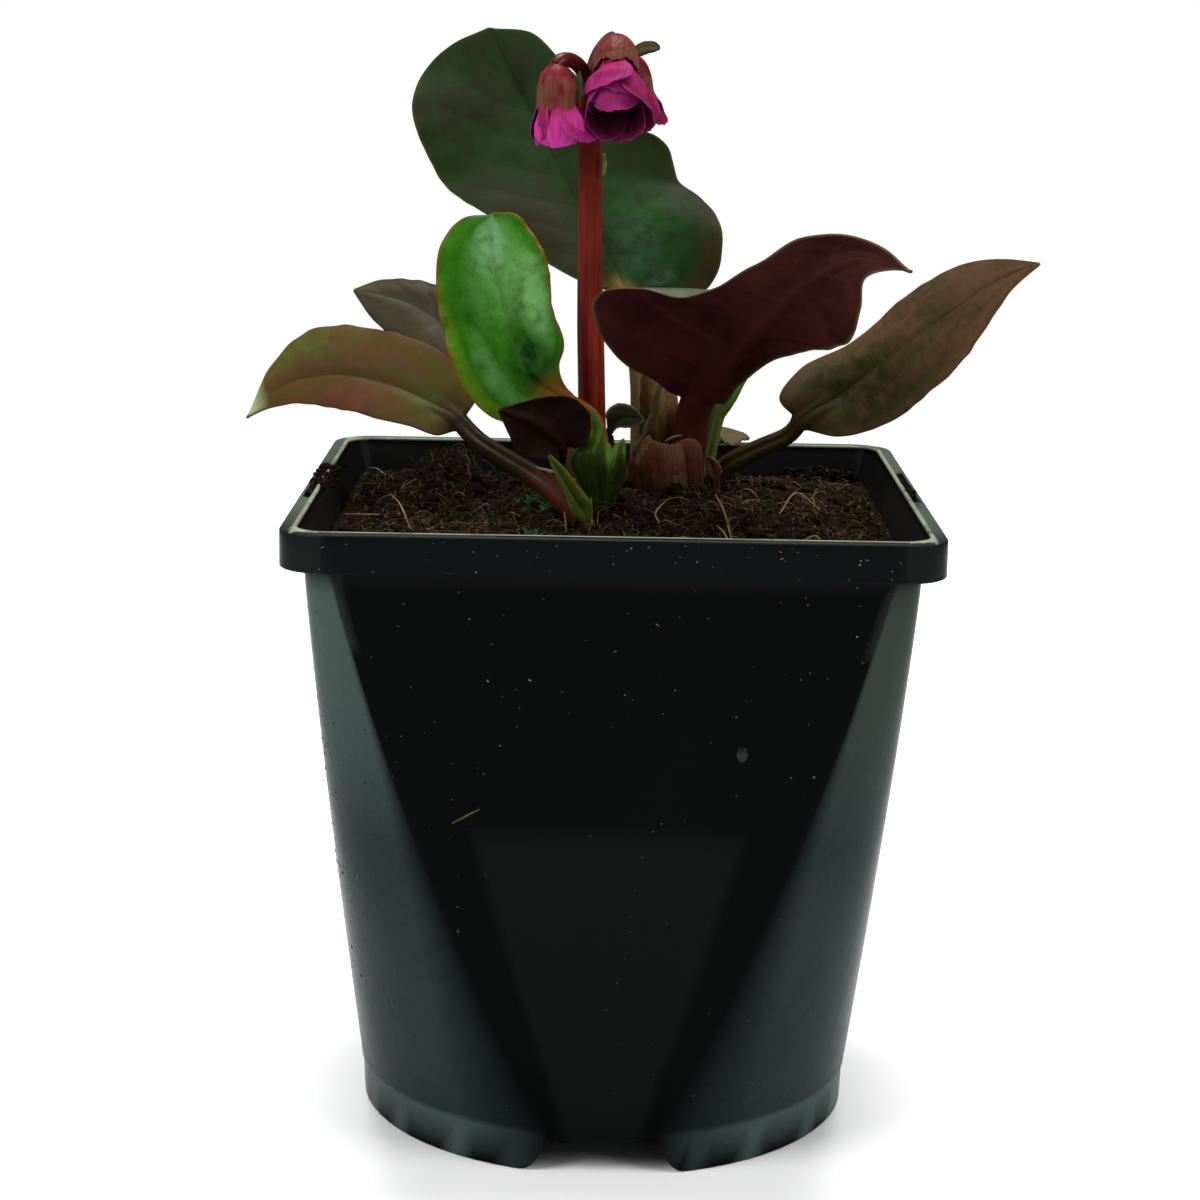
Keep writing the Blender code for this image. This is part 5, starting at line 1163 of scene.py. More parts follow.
def pot_finish():
    """Black plastic: painted reflections of the lamps over the corner cones, of the floor low on each face
    and on the rim's top, dust, and a painted highlight along the inner lip.
    """
    paint = Paint("pot_plastic", 0.015)
    x, y, z = paint.axes()
    height = z.between(0.060, 0.104)
    left, right = x.between(-0.020, -0.040), x.between(0.020, 0.040)
    cloud = paint.noise(22, 4.0, 0.3, 0.7)
    speckle = paint.noise(1.1, 4.0, 0.35, 0.65)
    smear = paint.noise(1.0, 4.0, 0.35, 0.7, paint.scaled(60, 60, 14))

    # Painted reflection of the lamps on the corner cones: stronger high up, on the left and at the foot.
    level, turn = z / REFLECTION_LEVEL, paint.mask("turn")
    start = (level * level * -REFLECTION_SOONER + REFLECTION_START).at_least(REFLECTION_LEAST)
    soft = (level * -REFLECTION_SHARPER + REFLECTION_SOFT).at_least(REFLECTION_SHARPEST)
    corner_reflection = turn.between(start - soft, start + soft) * paint.mask("corner_reflection")
    corner_reflection = corner_reflection * cloud.between(0.0, 1.0, 0.78, 1.0) * speckle.between(0.0, 1.0, 0.86, 1.0)
    high_corner_reflection = corner_reflection * height
    edge = turn.between(EDGE_START, EDGE_FULL) * corner_reflection * height.between(0.0, 1.0, 0.2, 1.0)
    # Painted reflection of the floor: a lighter trapezoid low on each face.
    margin = z * 0.30 + 0.0045 - abs(x).at_most(abs(y))
    floor_reflection = margin.between(-0.0008, 0.0012) * z.between(0.064, 0.060)
    dust = paint.cells(2.6).between(0.04, 0.08, 1.0, 0.0) * paint.noise(9, 2.0, 0.5, 0.6)

    paint.base = paint.mix(paint.mask("rim"), (0.0012, 0.0014, 0.0015), (0.0036, 0.0045, 0.0046))
    paint.coat(paint.mask("inner"), (0.0060, 0.0060, 0.0058))
    paint.coat(corner_reflection, (0.019, 0.028, 0.0275))
    paint.coat(high_corner_reflection, (0.034, 0.050, 0.046))
    paint.coat(high_corner_reflection * left, (0.055, 0.078, 0.070))
    paint.coat(high_corner_reflection * right, (0.026, 0.034, 0.025))
    paint.coat(edge, paint.mix(left, (0.018, 0.034, 0.020), (0.066, 0.094, 0.084)))
    paint.coat(corner_reflection * z.between(0.0082, 0.0072), (0.050, 0.072, 0.066))
    paint.coat(floor_reflection * 0.6, (0.0050, 0.0066, 0.0060))
    paint.coat(smear * 0.12, (0.005, 0.006, 0.006))
    # Painted reflection on the rim's top, weaker at the front.
    paint.coat(paint.mask("top"), (0.048, 0.062, 0.049))
    paint.coat(dust * 0.4, (0.10, 0.092, 0.070))
    # A pale broken line along the inner lip: a painted highlight.
    paint.coat(paint.mask("lip") * paint.noise(7, 4.0, 0.20, 0.48), (0.18, 0.205, 0.145))
    ripple = paint.bump(paint.noise(1.0, 2.0, 0.0, 1.0, paint.scaled(90, 90, 20)), 0.12)
    return paint.done(
        Roughness=cloud.between(0.0, 1.0, 0.20, 0.30) + dust * 0.4,
        Normal=paint.bump(paint.noise(0.6, 2.0, 0.0, 1.0), 0.02, Normal=ripple),
    )


POT_MASKS = ("turn", "corner_reflection", "rim", "inner", "top", "lip")


def pot_masks(x, y, z):
    """The values of POT_MASKS at one point of the pot: its turn round the corner, the rest from 0 to 1."""
    across, deep = abs(x), abs(y)
    far = max(across, deep)
    on_rim = z > BAND_FOOT - 0.1
    half, flat = (RIM_HALF, RIM_FLAT) if on_rim else body_section(max(z, STEP_HEIGHT))
    flat = max(flat, LEAST_FLAT)
    out_x, out_y = across - flat, deep - flat
    in_corner = out_x > -0.02 and out_y > -0.02
    reach = math.hypot(max(out_x, 0), max(out_y, 0)) if in_corner else max(out_x, out_y)
    outside = reach > half - flat - WALL / 2
    if in_corner:
        turn, keep = math.atan2(max(out_x, 0), max(out_y, 1e-6)) / (math.pi / 2), 1.0
    else:
        turn, keep = (1.0, 1 - float(smoothstep(-out_y / SIDE_FADE))) if out_x > out_y else (0.0, 0.0)
    # Where the painted reflection of the lamps lies: on the corners, and faintly on the rim band.
    corner_reflection = keep * (RIM_REFLECTION if on_rim else 1.0) if outside else 0.0
    rim = float(on_rim and outside)
    inner = float(not outside and FLOOR_TOP < z < POT_HEIGHT - 1.0)
    # The rim's top takes a painted reflection, weaker at the front.
    on_top = z > POT_HEIGHT - 0.25 and far > LIP_HALF + 0.6
    top = (0.2 + 0.8 * float(smoothstep((y + 50) / 12))) if on_top else 0.0
    # The inner lip takes a painted highlight.
    lip = float(z > POT_HEIGHT - 0.3 and far < LIP_HALF + 0.7)
    return turn, corner_reflection, rim, inner, top, lip


def make_pot():
    """The pot with its rim, foot, slots and holes."""
    pot = mesh_object("pot_look", *loft([rounded_square(*section) for section in pot_sections()]))
    cut(pot, pot_cutters())
    found = [pot_masks(*(c / MM for c in vertex.co)) for vertex in pot.data.vertices]
    set_masks(pot.data, dict(zip(POT_MASKS, zip(*found))))
    pot.data.shade_smooth()
    pot.data.set_sharp_from_angle(angle=math.radians(POT_CREASE))
    settle(pot, pot_finish(), "pot", "pot")


def soil_height(x, y):
    """Height of the compost's lumpy surface."""
    height = sum(
        rise * math.exp(-((x - cx) ** 2 + (y - cy) ** 2) / (2 * wide**2)) for cx, cy, rise, wide in MOUNDS
    )
    height += sum(rise * noise.noise(Vector((x / size, y / size, size))) for size, rise in LUMPS)
    fade = 1 - (max(abs(x), abs(y)) / BODY_TOP_HALF) ** 6
    fine = sum(rise * noise.noise(Vector((x / size, y / size, 3 + size))) for size, rise in CRUMBLE)
    return SOIL_LEVEL + height * fade + fine


def in_section(a, b, half, flat):
    """A point of the square from -1 to 1 moved into a rounded square."""
    x, y = abs(a) * half, abs(b) * half
    dx, dy = x - flat, y - flat
    if dx > 0 and dy > 0:
        pull = max(dx, dy) / math.hypot(dx, dy)
        x, y = flat + dx * pull, flat + dy * pull
    return math.copysign(x, a), math.copysign(y, b)


def make_soil():
    """Compost that fills the pot, crumbly on top."""
    n = SOIL_GRID
    steps = np.linspace(-1, 1, n)
    section = body_section(SOIL_LEVEL, WALL + GAP)
    points = []
    for b in steps:
        for a in steps:
            x, y = in_section(a, b, *section)
            points.append((x, y, soil_height(x, y)))
    corners = [j * n + i for j in range(n - 1) for i in range(n - 1)]
    faces = [(k, k + 1, k + n + 1, k + n) for k in corners]
    border = [i for i in range(n)] + [j * n + n - 1 for j in range(1, n)]
    border += [(n - 1) * n + i for i in range(n - 2, -1, -1)] + [j * n for j in range(n - 2, 0, -1)]
    around = [(steps[k % n], steps[k // n]) for k in border]
    before = border
    for z in SOIL_LEVELS:
        section = body_section(z, WALL + GAP)
        ring = list(range(len(points), len(points) + len(around)))
        points += [(*in_section(a, b, *section), z) for a, b in around]
        faces += [(before[k - 1], ring[k - 1], ring[k], before[k]) for k in range(len(ring))]
        before = ring
    centre = len(points)
    points.append((0, 0, SOIL_LEVELS[-1]))
    faces += [(before[k - 1], centre, before[k]) for k in range(len(before))]
    finish = soil_finish("compost", (0.017, 0.0105, 0.0050))
    add_piece("soil_look", (points, faces), finish, "soil", "soil", crease=180)


def soil_finish(name, light):
    """Dark peat with paler fibres through it, and painted shade towards the front."""
    paint = Paint(name, 0.02)
    lumps = paint.noise(2.2, 6.0, 0.35, 0.70, rough=0.7)
    paint.base = paint.mix(lumps, (0.0022, 0.0014, 0.0007), light)
    paint.coat(paint.noise(16, 3.0, 0.35, 0.65) * 0.5, (0.006, 0.0038, 0.002))
    fibre = paint.noise(1.0, 3.0, 0.60, 0.66, paint.scaled(1500, 330, 700))
    paint.coat(fibre * 0.7, (0.075, 0.048, 0.024))
    # Painted shade: darker towards the front of the pot.
    paint.coat(paint.axes()[1].between(-0.008, -0.034, 0.0, 0.40), (0.0016, 0.0010, 0.0005))
    relief = paint.bump(paint.noise(0.7, 5.0, 0.0, 1.0, rough=0.75), 0.5)
    return paint.done(Roughness=lumps.between(0.0, 1.0, 0.95, 0.75), Normal=relief)


def icosphere(level):
    """Points and faces of a small ball of radius 1."""
    ball = bmesh.new()
    bmesh.ops.create_icosphere(ball, subdivisions=level, radius=1.0)
    points = np.array([v.co[:] for v in ball.verts])
    faces = [tuple(v.index for v in f.verts) for f in ball.faces]
    ball.free()
    return points, faces


def turned(points, dice):
    """Points turned at random about the origin."""
    axis = Vector((dice.gauss(0, 1), dice.gauss(0, 1), dice.gauss(0, 1)))
    return points @ np.array(Matrix.Rotation(dice.uniform(0, math.tau), 3, axis.normalized()))


def crumb(dice, size, at, level=1):
    """One irregular crumb of compost."""
    points, faces = icosphere(level)
    points = points * (1 + 0.45 * rumple(points, 0.7, dice.uniform(0, 50)))[:, None]
    points = points * np.array([dice.uniform(*share) for share in CRUMB_SHARES]) * size
    return turned(points, dice) + np.array(at), faces


def soil_spot(dice, margin=2.0):
    """A random place on the compost."""
    reach = BODY_TOP_HALF - WALL - GAP - margin
    return dice.uniform(-reach, reach), dice.uniform(-reach, reach)


def make_crumbs():
    """Loose crumbs on the compost, and the spill that fills the slots at the rim's left and right."""
    dice = random.Random(11)
    crumbs = []
    for _ in range(CRUMBS):
        x, y = soil_spot(dice)
        size = dice.uniform(*(SMALL_CRUMB if dice.random() < SMALL_CRUMBS else LARGE_CRUMB))
        at = (x, y, soil_height(x, y) + 0.3 * size)
        crumbs.append(crumb(dice, size, at, 2 if size > 0.7 else 1))
    for _ in range(HEAPED_CRUMBS):
        x, y = dice.uniform(*HEAP_X), min(dice.gauss(*HEAP_Y), HEAP_END)
        size = dice.uniform(0.3, 0.8)
        crumbs.append(crumb(dice, size, (x, y, soil_height(x, y) + dice.uniform(0.0, HEAP_RISE))))
    slot = (LIP_HALF + LIP_THICK + RIM_HALF - SKIRT_THICK) / 2
    for side, low, high, count in SLOT_CRUMBS:
        for _ in range(count):
            y = dice.uniform(low, high)
            size = dice.uniform(0.35, 0.8)
            x = side * dice.uniform(slot - 0.5, slot + 0.4)
            crumbs.append(crumb(dice, size, (x, y, POT_HEIGHT - dice.uniform(0.0, 1.4))))
    for _ in range(RIM_CRUMBS):
        y = dice.uniform(-12, 16)
        size = dice.uniform(0.2, 0.7)
        crumbs.append(crumb(dice, size, (-dice.uniform(49.5, 54.4), y, POT_HEIGHT + 0.4 * size)))
    finish = soil_finish("crumbs", (0.021, 0.0125, 0.0060))
    add_piece("soil_crumbs", merged(crumbs), finish, "soil", out=False, crease=180)


def fibre_path(dice, in_tuft):
    """A bent line that lies on the compost, or stands up in an arch within the tuft."""
    x, y, spread, _ = TUFT
    x, y = (dice.gauss(x, spread), dice.gauss(y, spread / 2)) if in_tuft else soil_spot(dice, 3.0)
    heading = dice.uniform(0, math.tau)
    length = dice.uniform(2.0, 6.0)
    bend = dice.uniform(-0.8, 0.8)
    lift = dice.uniform(1.5, 4.6) if in_tuft else dice.uniform(0.1, 1.4)
    reach = BODY_TOP_HALF - 3
    points = []
    for step in range(4):
        points.append((x, y, soil_height(x, y) + 0.25 + lift * math.sin(math.pi * (step / 3))))
        x += math.cos(heading) * length / 3
        y += math.sin(heading) * length / 3
        x, y = min(max(x, -reach), reach), min(max(y, -reach), reach)
        heading += bend / 3
    return points


def make_fibres():
    """Root hairs and bits of straw in the compost."""
    dice = random.Random(23)
    pale, dark = [], []
    for radius, points in STRANDS:
        pale.append(strand([(x, y, soil_height(x, y) + up) for x, y, up in points], radius * 0.7, 14, 7))
    for k in range(FIBRES + TUFT[3]):
        points = fibre_path(dice, k >= FIBRES)
        group = pale if k % 9 == 0 else dark
        group.append(strand(points, dice.uniform(0.04, 0.09)))
    for name, shapes, tones in (("soil_straw", pale, STRAW_TONES), ("soil_roots", dark, ROOT_TONES)):
        add_piece(name, merged(shapes), two_tone(name, *tones, 4, shine=0.15, rough=0.7), "soil", out=False)


def make_moss():
    """Small cushions of moss beside the stems."""
    dice = random.Random(5)
    leaflets = []
    ball, faces = icosphere(1)
    for cx, cy, spread, count in MOSS:
        for _ in range(count):
            x, y = dice.gauss(cx, spread * 0.45), dice.gauss(cy, spread * 0.45)
            points = turned(ball * np.array(MOSS_LEAFLET) * dice.uniform(0.35, 0.8), dice)
            leaflets.append((points + np.array([x, y, soil_height(x, y) + dice.uniform(0.1, 1.0)]), faces))
    finish = two_tone("moss", (0.004, 0.026, 0.004), (0.022, 0.090, 0.014), 2.5, shine=0.2, rough=0.6)
    add_piece("moss", merged(leaflets), finish, "leaf_green", out=False)


def crown_shape(lobe):
    """One lobe of the stump, ribbed like old bark."""
    (cx, cy), sizes = lobe
    turns = turns_round(CROWN_SIDES)
    rings = []
    for z, half_x, half_y in spline(sizes, 26):
        ring = stacked(cx + half_x * np.cos(turns), cy + half_y * np.sin(turns), z)
        rough = 1 + 0.05 * np.sin(9 * turns) + 0.06 * rumple(ring * np.array([1, 1, 0.35]), 1.6)
        x, y = ring[:, 0], ring[:, 1]
        rings.append(stacked(cx + (x - cx) * rough, cy + (y - cy) * rough, z))
    return loft(rings)


def husk_shape(husk, wall=0.5, rows=44, columns=40):
    """Points, faces and masks of a thin sheath rolled round its line, with a torn crest."""
    line = np.array(husk["line"], float)
    u = np.linspace(0, 1, rows)[:, None]
    v = np.linspace(0, 1, columns)[None, :]
    crest = np.interp(v, np.linspace(0, 1, len(husk["crest"])), husk["crest"])
    torn = 0.012 * rumple(stacked(v * 7, line[0, 0], 0.3), 1.0)
    places = np.clip(u * (crest + torn), 0, 1)
    where = curve_at(line, places.ravel()).reshape(rows, columns, 5)
    turn = np.radians(husk["start"] + (husk["end"] - husk["start"]) * v)
    ribs = 1 + 0.05 * rumple(stacked(v * 15, u * 1.5, 0.7), 1.0)
    swing = rumple(stacked(v * 4, 7.0, 0.1), 1.0)
    loose = 1 + 0.16 * smoothstep((u - 0.8) / 0.2) * swing
    grid = where[..., :3].copy()
    grid[..., 0] += where[..., 3] * np.cos(turn) * ribs * loose
    grid[..., 1] += where[..., 4] * np.sin(turn) * ribs * loose
    grid = grid + 0.12 * rumple(grid, 1.4)[..., None]
    thick = wall * (1 - 0.55 * u**3) / 2 * np.ones_like(v)
    masks = {
        "up": np.broadcast_to(u, places.shape),
        "rim": np.maximum(u, np.abs(2 * v - 1) ** 3) ** 18,
        "across": np.broadcast_to(turn, places.shape),
        "tone": np.full(places.shape, husk["tone"]),
    }
    return *sheet_solid(grid, thick, thick), on_both_faces(masks, "inner", 0.0, 1.0)


def husk_finish(name, colours, fade, fold=None):
    """Fibrous sheath: three colours along its tone, dark strands, a pale torn edge and painted shade inside.

    Below fade it darkens with painted shade towards its foot, and fold is the turn and half width in radians
    of a crease darkened with painted shade.
    """
    low, middle, high, rim, inside = colours
    strand_and_shade = tuple(c * HUSK_STRAND_AND_SHADE for c in low)
    paint = Paint(name, 0.12)
    up, across = paint.mask("up"), paint.mask("across")
    strands = paint.noise(1.0, 4.0, 0.36, 0.66, paint.vector(across * 4.0, up * 3.2))
    cloud = paint.noise(3.4, 3.0, 0.36, 0.64)
    tone = paint.mask("tone") + cloud.between(0.0, 1.0, -0.3, 0.3)
    paint.base = paint.mix(tone.between(0.0, 0.5), low, middle)
    paint.coat(tone.between(0.5, 1.0), high)
    # Dark fibre strands: the sheath's own colour.
    paint.coat(strands * 0.6, strand_and_shade)
    # Painted shade towards the foot.
    paint.coat(up.between(*fade, 0.0, 0.9), strand_and_shade)
    # Painted shade in the crease.
    if fold:
        turn, half = fold
        paint.coat(abs(across - turn).between(half / 2, half, 0.8, 0.0), strand_and_shade)
    paint.coat(paint.mask("rim") * 0.8, rim)
    # Painted shade inside.
    paint.coat(paint.mask("inner") * 0.85, inside)
    return paint.done(Normal=paint.bump(strands, 0.12))


def make_husk(name, husks, slot, node=(), fold=None):
    """One piece made of several sheaths, in place of the named nodes."""
    finish = husk_finish(*HUSK_LOOKS[name], fold)
    add_piece(name, merged([husk_shape(husk) for husk in husks]), finish, slot, *node, crease=60)


def crown_finish():
    """Fibrous stump, from orange-brown to red and green."""
    paint = Paint("crown_fibre", 0.12, 0.55)
    strands = paint.noise(1.0, 4.0, 0.3, 0.7, paint.scaled(1100, 1100, 120))
    paint.base = paint.mix(paint.noise(5, 3.0, 0.38, 0.6), (0.060, 0.018, 0.006), (0.055, 0.045, 0.012))
    paint.coat(strands * 0.7, (0.018, 0.008, 0.003))
    return paint.done(Normal=paint.bump(strands, 0.35))


def make_crown():
    """The stump, with the old leaf base on it, the torn sheaths round it and their loose edges."""
    shapes = [crown_shape(lobe) for lobe in CROWN_LOBES] + [leaf_shape(OLD_BASE, FINE_SMALL)]
    add_piece("crown_look", merged(shapes), crown_finish(), "crown", "crown")
    make_husk("crown_husks", HUSKS, "crown")
    make_husk("red_sheath_look", (RED_SHEATH,), "crown")
    torn = []
    for radius, tone, line in TORN:
        points, faces = strand(line, radius, 16, 7)
        torn.append((points, faces, {"tone": np.full(len(points), tone)}))
    paint = Paint("torn_edges", 0.1, 0.6)
    cream = paint.mix(paint.noise(1.2, 3.0), (0.15, 0.080, 0.050), (0.26, 0.17, 0.11))
    paint.base = paint.mix(paint.mask("tone"), (0.045, 0.034, 0.010), cream)
    add_piece("torn_edges", merged(torn), paint.done(), "crown", out=False)


def stem_finish():
    """Dark red stem, brighter at its foot, with paler ridges."""
    paint = Paint("scape_red", 0.06, 0.42)
    height = paint.axes()[2]
    ridges = paint.noise(1.0, 4.0, 0.35, 0.65, paint.scaled(900, 900, 45))
    paint.base = paint.mix(ridges, (0.075, 0.0056, 0.0035), (0.144, 0.0138, 0.0075))
    paint.coat(paint.noise(12, 3.0, 0.35, 0.65) * 0.35, (0.105, 0.017, 0.005))
    paint.coat(height.between(0.150, 0.138), paint.mix(ridges, (0.15, 0.012, 0.006), (0.27, 0.030, 0.014)))
    paint.coat(height.between(0.158, 0.172, 0.0, 0.7), (0.050, 0.0036, 0.0024))
    return paint.done(Normal=paint.bump(ridges, 0.12))


def make_scape():
    """The flower scape, the darker stalks of the blooms, and the small bract and scales."""
    rings = spline(SCAPE, 90)
    points, faces = tube(rings, SCAPE_SIDES)
    centre = np.repeat(rings[:, :3], SCAPE_SIDES, axis=0)
    swell = 1 + 0.035 * rumple(points * np.array([1, 1, 0.12]), 1.3)
    points = centre + (points - centre) * swell[:, None]
    add_piece("scape_look", (points, faces), stem_finish(), "scape", "scape")
    stalks = [tube(spline(line, 26), 18) for line in BLOOM_STALKS]
    red = two_tone("bloom_stalk_red", *STALK_TONES, 2.0, shine=0.12, rough=0.3)
    add_piece("bloom_stalks", merged(stalks), red, "scape")
    scales = [strand(points, radius) for radius, points in SCAPE_SCALES]
    yellow = two_tone("scale_yellow", *SCALE_TONES, 1.5, shine=0.05)
    add_piece("scape_scales", merged(scales), yellow, "leaf_pale")
    finish = leaf_finish("bract", BRACT_LOOK)
    add_piece("bract_look", leaf_shape(BRACT, FINE_BRACT), finish, "scape", out=False)


def in_bloom(bloom, radius, angle, down):
    """Points of a bloom from their distance to its axis, their angle and how far below its top they are."""
    top = np.array(bloom["top"])
    up = unit(top - np.array(bloom["mouth"]))
    first = unit(np.cross(np.array([0.0, 1.0, 0.0]), up))
    second = np.cross(up, first)
    radius, angle, down = np.broadcast_arrays(radius, angle, down)
    around = first * np.cos(angle)[..., None] + second * np.sin(angle)[..., None]
    return top + around * radius[..., None] - up * down[..., None]


def calyx_shape(bloom):
    """The cup of five joined sepals, ribbed outside, with masks for its length and ribs."""
    turns = -turns_round(CALYX_SIDES)
    lobes = np.cos(5 * (turns - math.radians(bloom["sepals"])))
    outline = spline([(down * bloom["cup"], r * bloom["girth"]) for down, r in CALYX_PROFILE], 26)
    rim = CALYX_RIM * bloom["cup"] + CALYX_LOBE * lobes + 0.12 * np.cos(15 * turns + 1)
    ribs = 0.035 * np.cos(25 * turns) + 0.13 * lobes
    end, girth = outline[-1]
    rings = []
    for k, (down, radius) in enumerate(outline):
        share = k / (len(outline) - 1)
        rings.append(in_bloom(bloom, radius + ribs * share, turns, down + share**2 * (rim - end - 0.5)))
    for inward, above in CALYX_EDGE:
        rings.append(in_bloom(bloom, girth - inward + ribs, turns, rim - above))
    rows = len(rings)
    for down, radius in outline[:5:-1]:
        rings.append(in_bloom(bloom, radius - CALYX_WALL, turns, max(down, 1.4)))
    along = np.concatenate([np.linspace(0, 1, rows), np.ones(len(rings) - rows)])
    masks = {
        "along": np.repeat(along, CALYX_SIDES),
        "rib": np.tile(0.5 + 0.5 * np.cos(25 * turns), len(rings)),
    }
    return *loft(rings), masks


def petal_shape(bloom, petal, seed):
    """One petal as points and faces, with masks for veins, edge, painted brightness and painted inner shade.
    """
    angle, length, spread, flare, lift, layer, tone = petal
    t = np.linspace(0, 1, 40)
    v = np.linspace(-1, 1, 33)
    rows, columns = t[:, None], v[None, :]
    profile = curve_at(PETAL_PROFILE, t)
    half = np.interp(t, np.linspace(0, 1, 5), PETAL_WIDTHS) * spread
    half = half * np.sqrt(np.clip(1 - np.clip((t - 0.86) / 0.19, 0, 1) ** 2, 0.02, 1))
    stretch = 1 + (length - 1) * smoothstep(profile[:, 0] / 6)
    down = profile[:, 0] * stretch
    free = smoothstep((t - 0.45) / 0.3)
    radius = profile[:, 1] + flare * smoothstep((t - 0.5) / 0.5) ** 2 + layer * free
    turn = math.radians(angle) + np.radians(half)[:, None] * columns
    waviness = stacked(rows * 2.2, columns * 1.6, seed * 5.0)
    wave = 0.55 * rumple(waviness, 1.0) * free[:, None] * rows
    crinkle = 0.16 * rumple(waviness * 3.5, 1.0) * free[:, None]
    edge_lift = lift * np.abs(columns) ** 3 * smoothstep((rows - 0.5) / 0.5)
    out = radius[:, None] + 0.26 * columns + wave + crinkle + edge_lift
    notches = 0.22 * rumple(stacked(v * 3.2, seed * 3.0, 0.5), 1.0)
    drop = down[:, None] - 0.7 * columns**2 + notches[None, :] * smoothstep((rows - 0.7) / 0.3)
    grid = in_bloom(bloom, np.maximum(out, 0.3), turn, drop)
    wall = np.full(grid.shape[:2], PETAL_WALL / 2)
    masks = {
        "along": np.broadcast_to(rows, wall.shape),
        "side": np.broadcast_to(columns, wall.shape),
        "rim": np.maximum(np.abs(columns) ** 10, rows**24),
        "tone": np.full(wall.shape, tone),
    }
    # How much painted shade its inside takes.
    inner = OPEN_INNER_SHADE if flare > OPEN_FLARE else 1.0
    return *sheet_solid(grid, wall, wall), on_both_faces(masks, "inner", inner, 0.0)


def petal_finish():
    """Magenta petals: each painted lighter or darker for its light and shade, red at the base, fine darker
    veins, and painted shade inside.
    """
    paint = Paint("petal_magenta", 0.03, 0.45)
    along = paint.mask("along")
    lines = paint.noise(1.0, 3.0, 0.35, 0.65, paint.vector(paint.mask("side") * 9.0, along), 0.6)
    # Each petal's tone is painted light and shade.
    tone = paint.mask("tone") + paint.noise(3.0, 3.0, 0.35, 0.65).between(0.0, 1.0, -0.14, 0.14)
    paint.base = paint.mix(tone.between(0.0, 1.0), (0.090, 0.0040, 0.018), (0.455, 0.038, 0.260))
    paint.coat(lines * 0.50, (0.15, 0.005, 0.045))
    paint.coat(along.between(0.78, 0.50, 0.0, 0.7), (0.22, 0.010, 0.030))
    paint.coat(paint.mask("rim") * 0.35, (0.30, 0.04, 0.24))
    # Painted shade inside the bloom, deepest towards its base.
    deep = paint.mix(along.between(0.98, 0.70), (0.075, 0.006, 0.024), (0.012, 0.0016, 0.005))
    paint.coat(paint.mask("inner") * along.between(1.0, 0.93, 0.6, 1.0), deep)
    return paint.done(Normal=paint.bump(lines, 0.08))


def calyx_finish():
    """Glossy red sepals, greyer and ribbed towards their edge."""
    paint = Paint("calyx_red", 0.05, 0.27)
    cloud = paint.noise(3.2, 3.0, 0.38, 0.62)
    grain = paint.noise(1.0, 4.0, 0.35, 0.65, paint.scaled(1000, 1000, 200))
    low = (paint.mask("along") + cloud.between(0, 1, -0.2, 0.2)).between(0.35, 0.8)
    paint.base = paint.mix(cloud, (0.085, 0.005, 0.006), (0.170, 0.009, 0.012))
    paint.coat(low, paint.mix(cloud, (0.150, 0.030, 0.026), (0.110, 0.050, 0.032)))
    paint.coat(paint.mask("rib") * 0.35, (0.075, 0.018, 0.013))
    paint.coat(grain * 0.35, (0.035, 0.010, 0.007))
    return paint.done(Normal=paint.bump(grain, 0.08))


def make_blooms():
    """Calyx, petals, pistil and stamens of each bloom."""
    petals_paint, calyx_paint = petal_finish(), calyx_finish()
    dark = two_tone("stamen", (0.010, 0.0015, 0.003), (0.032, 0.010, 0.005), 0.8, 2.0)
    anther, anther_faces = icosphere(2)
    for name, bloom in BLOOMS.items():
        add_piece(f"{name}_calyx_look", calyx_shape(bloom), calyx_paint, "calyx", f"{name}_calyx")
        petals = [petal_shape(bloom, petal, seed) for seed, petal in enumerate(bloom["petals"], len(name))]
        add_piece(f"{name}_petals_look", merged(petals), petals_paint, "petal", f"{name}_petals", crease=80)
        inside = [loft([in_bloom(bloom, r, -turns_round(20), down) for down, r in OVARY_PROFILE])]
        for angle in (math.tau * k / STAMENS + 0.2 for k in range(STAMENS)):
            ends = [in_bloom(bloom, r, angle, down) for down, r in STAMEN_PROFILE]
            inside.append(strand(ends, STAMEN_RADIUS))
            inside.append((anther * np.array(ANTHER) + ends[-1], anther_faces))
        add_piece(f"{name}_pistil", merged(inside), dark, "petal")


def wall_point(angle, z):
    """A point on the pot's outer wall in the direction of angle, and the direction out."""
    ray = np.array([math.cos(angle), math.sin(angle)])
    ring = rounded_square(*body_section(z), z)
    turns = np.unwrap(np.arctan2(ring[:, 1], ring[:, 0]))
    where = (angle - turns[0]) % math.tau + turns[0]
    reach = np.interp(where, turns, np.linalg.norm(ring[:, :2], axis=1))
    return np.array([*(ray * reach), z]), np.array([*ray, 0.0])


def make_droplets():
    """Drops of water on the pot's left front, and a dried one on its front."""
    dice = random.Random(31)
    drops = []
    ball, faces = icosphere(2)
    for _ in range(DROPS):
        angle = math.radians(dice.gauss(*DROP_TURN))
        low, high = DROP_LIMITS
        z = min(max(dice.gauss(*DROP_HEIGHT), low), high)
        at, out = wall_point(angle, z)
        size = dice.uniform(*(SMALL_DROP if dice.random() < SMALL_DROPS else LARGE_DROP))
        flat = ball - (ball @ out)[:, None] * out * DROP_FLAT
        drops.append((flat * size * np.array([1, 1, dice.uniform(1.0, 1.5)]) + at, faces))
    ball, faces = icosphere(3)
    x, z, sizes = DRIED_DROP
    drops.append((ball * np.array(sizes) + np.array([x, -body_section(z)[0], z]), faces))
    finish = two_tone("water", (0.004, 0.005, 0.005), (0.010, 0.013, 0.012), 3, 1.0, rough=0.12)
    add_piece("droplets", merged(drops), finish, "pot", out=False)


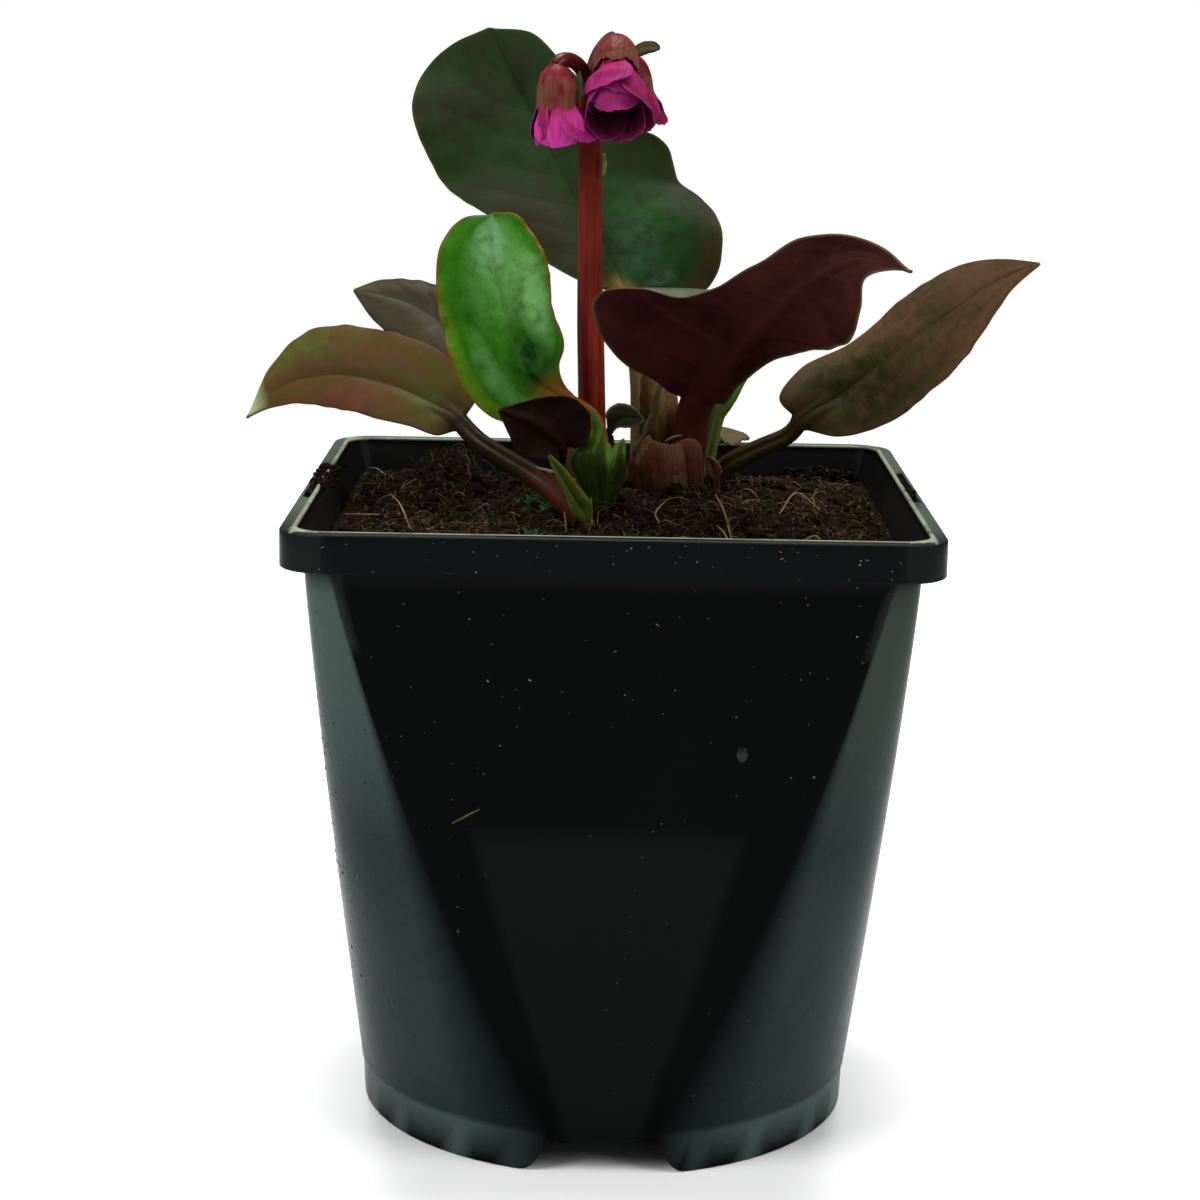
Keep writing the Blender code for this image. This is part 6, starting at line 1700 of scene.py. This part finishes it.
def make_litter():
    """Specks of compost and straw stuck to the rim and the front."""
    dice = random.Random(47)
    bits = [strand(points, radius) for radius, points in LITTER_STRAWS]
    for _ in range(SPECKS):
        x = dice.uniform(*SPECK_X)
        if dice.random() < RIM_SPECKS:
            place = (x, -RIM_HALF, dice.uniform(*SPECK_RIM))
        else:
            z = dice.uniform(*SPECK_WALL)
            place = (x * 0.85, -body_section(z)[0] - 0.02, z)
        size = dice.uniform(*SPECK_SIZE)
        if dice.random() < STRAW_SPECKS:
            lean = dice.uniform(-0.9, 0.9)
            end = (place[0] + 2.6 * size, place[1], place[2] + 2.6 * size * lean)
            middle = tuple((a + b) / 2 for a, b in zip(place, end))
            bits.append(strand((place, middle, end), min(size * 0.4, 0.09)))
        else:
            points, faces = crumb(dice, size, (place[0], 0, place[2]))
            bits.append((points * np.array([1, 0.28, 1]) + np.array([0, place[1], 0]), faces))
    finish = two_tone("litter", (0.05, 0.036, 0.018), (0.16, 0.13, 0.075), 6, 2.0, rough=0.8)
    add_piece("litter", merged(bits), finish, "soil", out=False)


def add_object(name, data):
    """Adds a lamp or camera to the scene."""
    made = bpy.data.objects.new(name, data)
    bpy.context.scene.collection.objects.link(made)
    return made


def make_stage():
    """A plain pale floor, soft studio light and the camera at the photograph's angle."""
    turns = turns_round(FLOOR_SIDES)
    ring = stacked(FLOOR_RADIUS * np.cos(turns), FLOOR_RADIUS * np.sin(turns), 0.0)
    floor = mesh_object("floor", ring, [tuple(range(FLOOR_SIDES))])
    white = two_tone("floor_white", (0.88, 0.88, 0.88), (0.90, 0.90, 0.90), 400, 2.0, shine=0.0, rough=0.9)
    floor.data.materials.append(white)

    for name, place, size, power in LAMPS:
        light = bpy.data.lights.new(name, "AREA")
        light.size = size
        light.energy = power
        lamp = add_object(name, light)
        lamp.location = place
        lamp.rotation_euler = (Vector(LAMP_AIM) - Vector(place)).to_track_quat("-Z", "Y").to_euler()

    world = bpy.data.worlds.new("studio")
    world.use_nodes = True
    tree = world.node_tree
    background = tree.nodes["Background"]
    seen = tree.nodes.new("ShaderNodeLightPath").outputs["Is Camera Ray"]
    level = tree.nodes.new("ShaderNodeMapRange")
    level.inputs["To Min"].default_value = WORLD_LIGHT
    level.inputs["To Max"].default_value = BACKDROP
    tree.links.new(seen, level.inputs["Value"])
    tree.links.new(level.outputs[0], background.inputs["Strength"])
    background.inputs["Color"].default_value = (1.0, 1.0, 1.0, 1.0)
    bpy.context.scene.world = world
    bpy.context.scene.view_settings.view_transform = "Standard"

    camera = bpy.data.cameras.new("camera")
    camera.sensor_width = SENSOR
    camera.lens = LENS
    camera.clip_start = 0.01
    viewer = add_object("camera", camera)
    right, up, forward = (Vector(axis) for axis in CAMERA_AXES)
    pose = Matrix((right, up, -forward)).transposed().to_4x4()
    pose.translation = Vector(CAMERA_PLACE)
    viewer.matrix_world = pose
    bpy.context.scene.camera = viewer


make_stage()
make_pot()
make_soil()
make_crumbs()
make_fibres()
make_moss()
make_crown()
make_husk("bud_sheath_look", (BUD_SHEATH, BUD_FLAP), "leaf_pale", ("bud_sheath",), fold=BUD_FOLD)
make_leaves()
make_scape()
make_blooms()
make_droplets()
make_litter()

bpy.context.view_layer.update()
